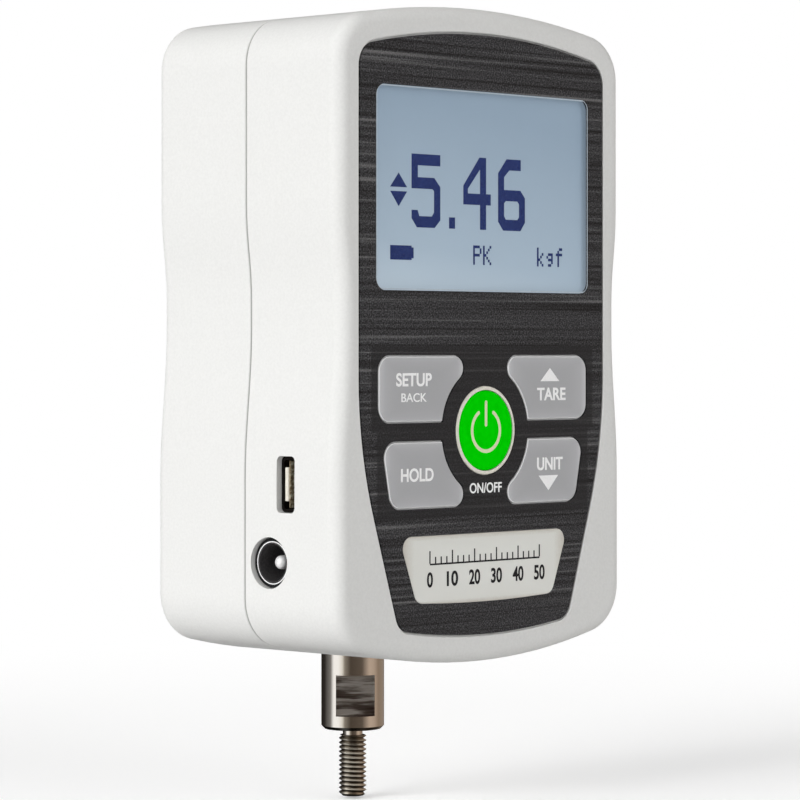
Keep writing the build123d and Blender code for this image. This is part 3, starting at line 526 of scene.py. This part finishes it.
for part in range(scale_parts + 1):
    numbered = part % numbered_parts == 0
    x = -scale_half_width + 2 * scale_half_width * part / scale_parts
    tall = long_tick_height if numbered else tick_height
    ticks.append(block(x - tick_width / 2, scale_line_z + tick_width, tick_width, tall))
    if numbered:
        number = str(part // numbered_parts * load_per_number)
        legend(f"scale_number_{number}", number, label_ink, "housing", label_front,
               x=x, z=scale_line_z - number_drop, height=number_height,
               width=figure_pitch * len(number) + figure_spare)
flat_shape("load_scale", ticks, label_ink, "housing", label_front, ink_thickness)

# Data socket
# A plated steel shell, coloured near black as painted shade, round a moulded ivory tongue, which
# carries five bronze contacts on the side that faces the front.
def scuff(tree, place, size, detail, smoothest, roughest):
    """Makes a material's roughness uneven, as handling and tools do."""
    patches = add(tree, "TexNoise", {"Vector": place, "Scale": 1 / size, "Detail": detail})
    worn = add(tree, "MapRange", {
        "Value": patches.outputs["Fac"], "To Min": smoothest, "To Max": roughest})
    tree.links.new(worn.outputs["Result"], tree.nodes["Principled BSDF"].inputs["Roughness"])


# Painted shade: the shell is given a near-black colour because it lies in the shadow of the socket's mouth,
# though it is plated steel.
shell_painted_as_shade, tree, shader, place = material("steel_shell_painted_dark_as_shade", "#2a2725", 0.45, Metallic=1.0)
scuff(tree, place, size=0.8 * MM, detail=3.0, smoothest=0.35, roughest=0.6)
dress(shell_painted_as_shade, "usb_shell")
tongue_plastic, tree, shader, place = material("moulded_nylon_ivory", "#e2ded0", 0.5)
mottle(tree, place, size=0.5 * MM, detail=1.0, stops=[(0.2, "#d6d1c2"), (0.8, "#ece8dc")])
bronze, tree, shader, place = material("stamped_bronze", "#b8a07e", 0.5, Metallic=0.2)
mottle(tree, place, size=0.6 * MM, detail=2.0,
       stops=[(0.35, "#8c7860"), (0.5, "#c8b694"), (0.65, "#f6f0da")])


def bar_piece(name, made, body, low, high, bevel):
    """A bar between two corners, in millimetres, with its edges broken by a bevel."""
    shape = bmesh.new()
    bmesh.ops.create_cube(shape, size=1)
    for vertex in shape.verts:
        for axis in range(3):
            vertex.co[axis] = (high[axis] if vertex.co[axis] > 0 else low[axis]) * MM
    bmesh.ops.bevel(shape, geom=shape.edges[:], offset=bevel * MM, segments=1, affect="EDGES")
    mesh = bpy.data.meshes.new(name)
    shape.to_mesh(mesh)
    shape.free()
    mesh.materials.append(made)
    piece = bpy.data.objects.new(name, mesh)
    bpy.context.scene.collection.objects.link(piece)
    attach(piece, body)
    return piece


usb_low, usb_high = [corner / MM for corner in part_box("usb_shell")]
usb_middle_z = (usb_low.z + usb_high.z) / 2
tongue_to_shell = 0.65
tongue_rear = usb_high.y - tongue_to_shell
tongue_thickness = 0.8
tongue_recess = 0.1
tongue_mouth = usb_low.x + tongue_recess
tongue_depth = 6.0
tongue_height = 5.6
spring_height = 7.8
spring_thickness = 0.1
contact_count = 5
contact_width = 0.62
contact_thickness = 0.08
contact_length = 5.2
contact_start = 0.25
tongue_front = tongue_rear - tongue_thickness
spring_front = tongue_front - spring_thickness
tongue = bar_piece(
    "data_tongue", tongue_plastic, "housing",
    (tongue_mouth, tongue_front, usb_middle_z - tongue_height / 2),
    (tongue_mouth + tongue_depth, tongue_rear, usb_middle_z + tongue_height / 2), 0.08)
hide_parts("usb_tongue")
bar_piece(
    "data_spring", bronze, "housing",
    (tongue_mouth + contact_start, spring_front, usb_middle_z - spring_height / 2),
    (tongue_mouth + contact_start + contact_length, tongue_front, usb_middle_z + spring_height / 2), 0.03)
for contact in range(contact_count):
    z = usb_middle_z + tongue_height * ((contact + 0.5) / contact_count - 0.5)
    bar_piece(
        f"data_contact_{contact + 1}", bronze, "housing",
        (tongue_mouth + contact_start, spring_front - contact_thickness, z - contact_width / 2),
        (tongue_mouth + contact_start + contact_length, spring_front, z + contact_width / 2), 0.02)

# Power socket
# A black moulded body whose barrel fills the wall's hole, with a paler bore. A thin nickel-plated
# ring is let into its face, round a turned pin with a domed tip, and its satin scatters the light.
black_plastic, tree, shader, place = material("moulded_nylon_black", "#141416", 0.45, Specular_IOR_Level=0.25)
mottle(tree, place, size=0.4 * MM, detail=2.0, stops=[(0.3, "#0c0c0e"), (0.7, "#1e1e21")])
dress(black_plastic, "tact_switches", "board_chips", "sensor_connector", "battery_plug")
nickel, tree, shader, place = material("nickel_plated_brass", "#ffffff", 0.3, Metallic=0.3)
scuff(tree, place, size=0.4 * MM, detail=3.0, smoothest=0.3, roughest=0.5)


def ring_faces(shape, lower, upper):
    """Faces between two rings of points, left out where the rings coincide."""
    for step in range(len(lower)):
        after = (step + 1) % len(lower)
        corners = list(dict.fromkeys([lower[step], lower[after], upper[after], upper[step]]))
        if len(corners) > 2:
            shape.faces.new(corners)


def turned(shape, profile, steps, spot):
    """Turns a profile of (radius, along) points. spot gives the place of (across, up, along)."""
    rings = []
    for radius, along in profile:
        if radius == 0:
            rings.append([shape.verts.new(spot(0, 0, along))] * steps)
        else:
            angles = [2 * math.pi * step / steps for step in range(steps)]
            rings.append([
                shape.verts.new(spot(radius * math.cos(angle), radius * math.sin(angle), along))
                for angle in angles])
    closed = rings[1:] + rings[:1] if profile[0][0] > 0 else rings[1:]
    for lower, upper in zip(rings, closed):
        ring_faces(shape, lower, upper)


sharp_angle = math.radians(28)
thread_index = 2


def finished(shape, name, body, *made):
    """Makes the piece of a shape: normals outwards, round faces smooth, its materials and body.
    A thread's crests and roots are rolled, so they are smooth all over."""
    bmesh.ops.recalc_face_normals(shape, faces=shape.faces[:])
    for face in shape.faces:
        face.smooth = True
    for edge in shape.edges:
        on_thread = all(face.material_index == thread_index for face in edge.link_faces)
        edge.smooth = on_thread or edge.calc_face_angle(0) < sharp_angle
    mesh = bpy.data.meshes.new(name)
    shape.to_mesh(mesh)
    shape.free()
    for one in made:
        mesh.materials.append(one)
    piece = bpy.data.objects.new(name, mesh)
    bpy.context.scene.collection.objects.link(piece)
    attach(piece, body)
    return piece


jack_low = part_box("power_jack_body")[0] / MM
pin_low, pin_high = [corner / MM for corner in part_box("power_jack_pin")]
jack_y = (pin_low.y + pin_high.y) / 2
jack_z = (pin_low.z + pin_high.z) / 2
bore_radius = 3.25
jack_plastic, tree, shader, place = material(
    "moulded_nylon_two_tone", "#141416", 0.45, Specular_IOR_Level=0.25)
from_axis = add(tree, "VectorMath", [place, (0, jack_y * MM, jack_z * MM)], operation="SUBTRACT")
from_axis = add(tree, "VectorMath", [from_axis.outputs[0], (0, 1, 1)], operation="MULTIPLY")
from_axis = add(tree, "VectorMath", [from_axis.outputs[0]], operation="LENGTH")
outside = add(tree, "Math", [from_axis.outputs["Value"], bore_radius * MM], operation="GREATER_THAN")
patches = add(tree, "TexNoise", {"Vector": place, "Scale": 1 / (0.4 * MM), "Detail": 2.0})
dark = tones(tree, patches.outputs["Fac"], [(0.3, "#0c0c0e"), (0.7, "#1e1e21")])
charcoal = tones(tree, patches.outputs["Fac"], [(0.3, "#3a3839"), (0.7, "#504e4f")])
toned = add(tree, "Mix", {0: outside.outputs[0], 6: charcoal, 7: dark}, data_type="RGBA")
tree.links.new(toned.outputs[2], shader.inputs["Base Color"])
dress(jack_plastic, "power_jack_body")
pin_radius = (pin_high.y - pin_low.y) / 2
pin_dome = 0.4
pin_tip = pin_low.x - pin_dome
sleeve_outer = 3.6
sleeve_inner = 3.42
sleeve_length = 0.5
sleeve_proud = 0.04
pin_steps = 40
sleeve_steps = 64


def in_jack(across, up, along):
    """A place round the power socket's axis."""
    return Vector((along, jack_y + across, jack_z + up)) * MM


shape = bmesh.new()
turned(shape, [
    (0, pin_tip), (pin_radius * 0.45, pin_tip + 0.1), (pin_radius * 0.8, pin_tip + 0.35),
    (pin_radius * 0.95, pin_tip + 0.6), (pin_radius, pin_tip + 0.9), (pin_radius, pin_high.x),
    (0, pin_high.x)], pin_steps, in_jack)
pin = finished(shape, "power_pin", "housing", nickel)
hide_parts("power_jack_pin")
shape = bmesh.new()
sleeve_mouth = jack_low.x - sleeve_proud
turned(shape, [
    (sleeve_outer, sleeve_mouth), (sleeve_outer, sleeve_mouth + sleeve_length),
    (sleeve_inner, sleeve_mouth + sleeve_length), (sleeve_inner, sleeve_mouth)],
    sleeve_steps, in_jack)
sleeve = finished(shape, "power_sleeve", "housing", nickel)

# Loading shaft
# One piece of stainless steel, turned bright, with two wrench flats milled rough, a relief groove
# and a rolled 10-32 thread, painted darker at its roots and paler at its crests as painted shade and
# highlight. Its spigot leaves the load cell room for the travel, because the cell's arm bends with it.
shaft_low, shaft_high = [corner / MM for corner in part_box("loading_shaft")]
shaft_y = -11.9
shaft_radius = 5.55
spigot_radius = 3.0
travel_room = 0.27
spigot_top = shaft_high.z - travel_room
spigot_foot = -44.0 - travel_room
shoulder_z = -69.35
shoulder_bevel = 0.6
flat_half = 8.73 / 2
flat_angle = math.radians(-130)
flat_top = -59.6
flat_foot = -66.8
shaft_steps = 104
neck_radius = 1.75
neck_foot = -70.45
thread_radius = 2.41
thread_root = 1.92
thread_pitch = 0.794
thread_steps = 48
thread_form = [(0, thread_radius), (0.125, thread_radius), (0.5, thread_root), (0.625, thread_root)]
tip_bevel = 0.5
tip_radius = 1.0
flat_slack = 0.01

turned_steel, tree, shader, place = material("turned_stainless_steel", "#f0ebe4", 0.14, Metallic=1.0)
mark_length = 6 * MM
mark_pitch = 0.15 * MM
along = add(tree, "Mapping", {"Vector": place, "Scale": (1 / mark_length, 1 / mark_length, 1 / mark_pitch)})
marks = add(tree, "TexNoise", {"Vector": along.outputs["Vector"], "Scale": 1.0, "Detail": 2.0})
cuts = add(tree, "Bump", {"Height": marks.outputs["Fac"], "Strength": 0.15, "Distance": 0.01 * MM})
worn = add(tree, "MapRange", {"Value": marks.outputs["Fac"], "To Min": 0.1, "To Max": 0.18})
tree.links.new(cuts.outputs["Normal"], shader.inputs["Normal"])
tree.links.new(worn.outputs["Result"], shader.inputs["Roughness"])

milled_steel, tree, shader, place = material("milled_stainless_steel", "#b0a8a4", 0.45, Metallic=1.0)
streak_length = 14 * MM
streak_width = 1.3 * MM
along = add(tree, "Mapping", {
    "Vector": place, "Scale": (1 / streak_length, 1 / streak_length, 1 / streak_width)})
streaks = add(tree, "TexNoise", {"Vector": along.outputs["Vector"], "Scale": 1.0, "Detail": 5.0})
tree.links.new(
    tones(tree, streaks.outputs["Fac"], [(0.36, "#5a4843"), (0.48, "#8c8480"), (0.56, "#ffffff")]),
    shader.inputs["Base Color"])
cuts = add(tree, "Bump", {"Height": streaks.outputs["Fac"], "Strength": 0.5, "Distance": 0.03 * MM})
tree.links.new(cuts.outputs["Normal"], shader.inputs["Normal"])

rolled_steel, tree, shader, place = material("rolled_stainless_thread", "#e2d9ca", 0.28, Metallic=1.0)
rub = add(tree, "TexNoise", {"Vector": place, "Scale": 1 / (0.5 * MM), "Detail": 2.0})
off_axis = add(tree, "VectorMath", [place, (0, shaft_y * MM, 0)], operation="SUBTRACT")
off_axis = add(tree, "VectorMath", [off_axis.outputs[0], (1, 1, 0)], operation="MULTIPLY")
off_axis = add(tree, "VectorMath", [off_axis.outputs[0]], operation="LENGTH")
# Painted shade and highlight: the thread's colour runs from dark at the roots to near white at the crests,
# with random patches on top.
height = add(tree, "MapRange", {
    "Value": off_axis.outputs["Value"], "From Min": thread_root * MM, "From Max": thread_radius * MM})
height = add(tree, "Math", [rub.outputs["Fac"], 0.2, height.outputs["Result"]], operation="MULTIPLY_ADD")
tree.links.new(
    tones(tree, height.outputs[0], [(0.1, "#7d7265"), (0.4, "#bcb2a2"), (1.0, "#fbf3e5")]),
    shader.inputs["Base Color"])


def on_shaft(across, up, along):
    """A place round the shaft's axis, turned so that a wrench flat faces the first direction."""
    x = across * math.cos(flat_angle) - up * math.sin(flat_angle)
    y = across * math.sin(flat_angle) + up * math.cos(flat_angle)
    return Vector((x, shaft_y + y, along)) * MM


def shaft_ring(shape, radius, along):
    """A ring of points round the shaft."""
    angles = [2 * math.pi * step / shaft_steps for step in range(shaft_steps)]
    return [
        shape.verts.new(on_shaft(radius * math.cos(angle), radius * math.sin(angle), along))
        for angle in angles]


def flattened(shape, ring, radius, along):
    """The same ring cut back to the wrench flats, sharing the points that the flats leave."""
    points = []
    for step, vertex in enumerate(ring):
        across = radius * math.cos(2 * math.pi * step / shaft_steps)
        up = radius * math.sin(2 * math.pi * step / shaft_steps)
        cut = max(-flat_half, min(flat_half, across))
        points.append(vertex if cut == across else shape.verts.new(on_shaft(cut, up, along)))
    return points


shape = bmesh.new()
top_centre = [shape.verts.new(on_shaft(0, 0, spigot_top))] * shaft_steps
foot_centre = [shape.verts.new(on_shaft(0, 0, neck_foot))] * shaft_steps
above_flat = shaft_ring(shape, shaft_radius, flat_top)
below_flat = shaft_ring(shape, shaft_radius, flat_foot)
flat_upper = flattened(shape, above_flat, shaft_radius, flat_top)
flat_lower = flattened(shape, below_flat, shaft_radius, flat_foot)
upper_rings = [
    top_centre,
    shaft_ring(shape, spigot_radius, spigot_top),
    shaft_ring(shape, spigot_radius, spigot_foot),
    shaft_ring(shape, shaft_radius, spigot_foot),
    above_flat,
    flat_upper,
]
lower_rings = [
    flat_lower,
    below_flat,
    shaft_ring(shape, shaft_radius, shoulder_z + shoulder_bevel),
    shaft_ring(shape, shaft_radius - shoulder_bevel, shoulder_z),
    shaft_ring(shape, neck_radius, shoulder_z),
    shaft_ring(shape, neck_radius, neck_foot),
    foot_centre,
]
for rings in (upper_rings, lower_rings):
    for upper, lower in zip(rings, rings[1:]):
        ring_faces(shape, upper, lower)
for step in range(shaft_steps):
    after = (step + 1) % shaft_steps
    corners = [flat_upper[step], flat_upper[after], flat_lower[after], flat_lower[step]]
    face = shape.faces.new(corners)
    turns_here = [2 * math.pi * place_on / shaft_steps for place_on in (step, after)]
    across = [abs(math.cos(angle)) * shaft_radius for angle in turns_here]
    face.material_index = 1 if min(across) > flat_half - flat_slack else 0

thread = bmesh.new()
thread_start = neck_foot + thread_pitch
turns = math.ceil((thread_start - shaft_low.z) / thread_pitch) + 1
columns = []
for step in range(thread_steps):
    angle = 2 * math.pi * step / thread_steps
    column = []
    for turn in range(turns):
        for phase, radius in thread_form:
            z = thread_start - (turn + phase + step / thread_steps) * thread_pitch
            radius = min(radius, max(thread_radius - tip_bevel + z - shaft_low.z, tip_radius))
            column.append(thread.verts.new(on_shaft(radius * math.cos(angle), radius * math.sin(angle), z)))
    columns.append(column)
form_points = len(thread_form)
for step in range(thread_steps):
    last = step == thread_steps - 1
    here = columns[step]
    there = columns[0][form_points:] if last else columns[step + 1]
    for row in range(len(here) - 1 - (form_points if last else 0)):
        thread.faces.new([here[row], here[row + 1], there[row + 1], there[row]])
for cut_z, outwards in ((neck_foot, 1), (shaft_low.z, -1)):
    everything = thread.verts[:] + thread.edges[:] + thread.faces[:]
    cut = bmesh.ops.bisect_plane(
        thread, geom=everything, plane_co=(0, 0, cut_z * MM), plane_no=(0, 0, outwards), clear_outer=True)
    rim_edges = [part for part in cut["geom_cut"] if isinstance(part, bmesh.types.BMEdge)]
    bmesh.ops.contextual_create(thread, geom=rim_edges)
for face in thread.faces:
    face.material_index = thread_index
bmesh.ops.recalc_face_normals(thread, faces=thread.faces[:])
thread_mesh = bpy.data.meshes.new("shaft_thread")
thread.to_mesh(thread_mesh)
thread.free()
shape.from_mesh(thread_mesh)
shaft = finished(shape, "threaded_shaft", "shaft", turned_steel, milled_steel, rolled_steel)
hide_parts("loading_shaft")

# Screws and sheet-metal parts
# Zinc-plated steel, pale with a faint yellow, and slightly scuffed where a tool has been. The
# plating is passivated, so it scatters half of the light. The rear inserts are plated too.
zinc, tree, shader, place = material("zinc_plated_steel", "#cfcdc6", 0.4, Metallic=0.5)
scuff(tree, place, size=0.6 * MM, detail=3.0, smoothest=0.25, roughest=0.5)
dress(zinc, "mounting_inserts", "dowel_insert", "captive_screws", "captive_rings", "board_screws",
      "bracket_screws", "load_cell_screws", "lcd_tray", "battery_bracket")

# Load cell
# Machined aluminium with a satin finish from the cutter, and foil gauges bonded on.
milled_aluminium, tree, shader, place = material("milled_aluminium", "#b9babc", 0.38, Metallic=1.0)
cut_length = 6 * MM
cut_pitch = 0.2 * MM
along = add(tree, "Mapping", {"Vector": place, "Scale": (1 / cut_length, 1 / cut_length, 1 / cut_pitch)})
marks = add(tree, "TexNoise", {"Vector": along.outputs["Vector"], "Scale": 1.0, "Detail": 2.0})
worn = add(tree, "MapRange", {"Value": marks.outputs["Fac"], "To Min": 0.3, "To Max": 0.5})
tree.links.new(worn.outputs["Result"], shader.inputs["Roughness"])
dress(milled_aluminium, "load_cell")
gauge_foil, tree, shader, place = material("polyimide_gauge_foil", "#a8702a", 0.4)
foil_pitch = 2 * MM
grid = add(tree, "TexWave", {"Vector": place, "Scale": 1 / foil_pitch}, bands_direction="Z")
foil = tones(tree, grid.outputs["Fac"], [(0, "#8a5a20"), (1, "#c08a44")])
tree.links.new(foil, shader.inputs["Base Color"])
dress(gauge_foil, "strain_gauges")

# Main board
# Glass-fibre laminate under green solder resist, and the display's opal light guide in front of it.
solder_resist, tree, shader, place = material("green_solder_resist", "#1f5a34", 0.35)
mottle(tree, place, size=1.5 * MM, detail=3.0, stops=[(0, "#1a4f2d"), (1, "#276a3e")])
dress(solder_resist, "main_board")
diffuser, tree, shader, place = material("opal_acrylic", "#dfe6ec", 0.3)
mottle(tree, place, size=5 * MM, detail=1.0, stops=[(0, "#d6dee6"), (1, "#e8eef2")])
dress(diffuser, "lcd_backlight")

# Battery and leads
# A rechargeable pack in glossy shrink wrap, on foam, with soft sheathed leads that are as dull and
# black as the foam.
shrink_wrap, tree, shader, place = material("pvc_shrink_wrap", "#27406e", 0.35)
mottle(tree, place, size=3 * MM, detail=3.0, stops=[(0, "#213863"), (1, "#304c80")])
dress(shrink_wrap, "battery_pack")
soft_black, tree, shader, place = material("black_foam_and_sheath", "#18181a", 0.8)
mottle(tree, place, size=0.5 * MM, detail=3.0, stops=[(0, "#121214"), (1, "#242427")])
dress(soft_black, "battery_pad", "sensor_lead", "battery_lead")

# Floor and light
# A white floor that melts into a white background. A soft lamp stands at the left and to the rear,
# a weaker one at the front right, and metal mirrors the room round them, which is dark between them.
floor_drop = 0.5 * MM
floor_half = 4.0
fade_start = 0.12
fade_end = 0.32
floor_lift = 0.36
shade_start = 12 * MM
shade_end = 60 * MM
low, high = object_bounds()
floor_z = low.z - floor_drop
dark_behind = [(0.0, "#1a1612"), (0.16, "#2d2a28"), (0.262, "#7c7a78")]
white_screen = [(0.298, "#ffffff"), (0.352, "#ffffff"), (0.395, "#e6e2da")]
dark_camera_side = [(0.42, "#8a8379"), (0.48, "#4c433b"), (0.6, "#5c5249")]
warm_wall = [(0.68, "#bba999"), (0.73, "#b3a191"), (0.8, "#8d7c6c"), (0.93, "#93877c"), (0.97, "#2c2620")]
room_stops = dark_behind + white_screen + dark_camera_side + warm_wall


def room(tree, direction):
    """What metal mirrors of the room, by the way round from the camera's side of the object."""
    round_way = add(tree, "Mapping", {
        "Vector": direction, "Rotation": (0, 0, math.radians(90) - camera_turn)})
    angle = add(tree, "TexGradient", [round_way.outputs["Vector"]], gradient_type="RADIAL")
    return tones(tree, angle.outputs["Fac"], room_stops)


mesh = bpy.data.meshes.new("floor")
mesh.from_pydata(
    [(-floor_half, -floor_half, floor_z), (floor_half, -floor_half, floor_z),
     (floor_half, floor_half, floor_z), (-floor_half, floor_half, floor_z)], [], [(0, 1, 2, 3)])
floor = bpy.data.objects.new("floor", mesh)
bpy.context.scene.collection.objects.link(floor)
paper, tree, shader, place = material("white_paper", "#f4f4f4", 0.9)
span = add(tree, "VectorMath", [place], operation="LENGTH")
far = add(tree, "MapRange", {
    "Value": span.outputs["Value"], "From Min": fade_start, "From Max": fade_end},
    interpolation_type="SMOOTHSTEP")
path = add(tree, "LightPath")
seen = add(tree, "Math", [path.outputs["Is Camera Ray"], path.outputs["Is Transmission Ray"]],
           operation="MAXIMUM")
fade = add(tree, "Math", [seen.outputs[0], far.outputs["Result"]], operation="MULTIPLY")
lift = add(tree, "Math", [seen.outputs[0], floor_lift], operation="MULTIPLY")
lifted = add(tree, "Emission", {"Color": (1, 1, 1, 1), "Strength": lift.outputs[0]})
near = add(tree, "AddShader", [shader.outputs[0], lifted.outputs[0]])
white = add(tree, "Emission", {"Color": (1, 1, 1, 1), "Strength": 1.0})
blend = add(tree, "MixShader", [fade.outputs[0], near.outputs[0], white.outputs[0]])
# Seen in reflections, the floor glows with the room's colours, darkened near the shaft's foot as painted
# shade.
from_shaft = add(tree, "VectorMath", [place, (0, shaft_y * MM, floor_z)], operation="SUBTRACT")
from_foot = add(tree, "VectorMath", [from_shaft.outputs[0]], operation="LENGTH")
shaded = add(tree, "MapRange", {
    "Value": from_foot.outputs["Value"], "From Min": shade_start, "From Max": shade_end, "To Min": 0.05})
mirrored = add(tree, "Emission", {
    "Color": room(tree, from_shaft.outputs[0]), "Strength": shaded.outputs["Result"]})
whole = add(tree, "MixShader", [path.outputs["Is Glossy Ray"], blend.outputs[0], mirrored.outputs[0]])
tree.links.new(whole.outputs[0], tree.nodes["Material Output"].inputs["Surface"])
floor.data.materials.append(paper)

sky_level = 0.33
world = bpy.data.worlds.new("studio")
bpy.context.scene.world = world
world.use_nodes = True
tree = world.node_tree
background = tree.nodes["Background"]
path = add(tree, "LightPath")
seen = add(tree, "Math", [path.outputs["Is Camera Ray"], path.outputs["Is Transmission Ray"]],
           operation="MAXIMUM")
seen = add(tree, "Math", [seen.outputs[0], path.outputs["Is Glossy Ray"]], operation="MAXIMUM")
level = add(tree, "MapRange", {"Value": seen.outputs[0], "To Min": sky_level, "To Max": 1.0})
mirrored = room(tree, add(tree, "TexCoord").outputs["Generated"])
tint = add(tree, "Mix", {0: path.outputs["Is Glossy Ray"], 6: (1, 1, 1, 1), 7: mirrored}, data_type="RGBA")
tree.links.new(tint.outputs[2], background.inputs["Color"])
tree.links.new(level.outputs["Result"], background.inputs["Strength"])
for name, power, softness, towards in (
        ("left_lamp", 2.45, 40, (-0.92, 0.05, 0.33)), ("right_lamp", 0.96, 50, (0.06, -0.95, 0.27))):
    sun = bpy.data.lights.new(name, "SUN")
    sun.energy = power
    sun.angle = math.radians(softness)
    lamp = bpy.data.objects.new(name, sun)
    lamp.rotation_mode = "QUATERNION"
    lamp.rotation_quaternion = Vector(towards).to_track_quat("Z", "Y")
    lamp.visible_glossy = False
    bpy.context.scene.collection.objects.link(lamp)

bpy.context.scene.view_settings.view_transform = "Standard"
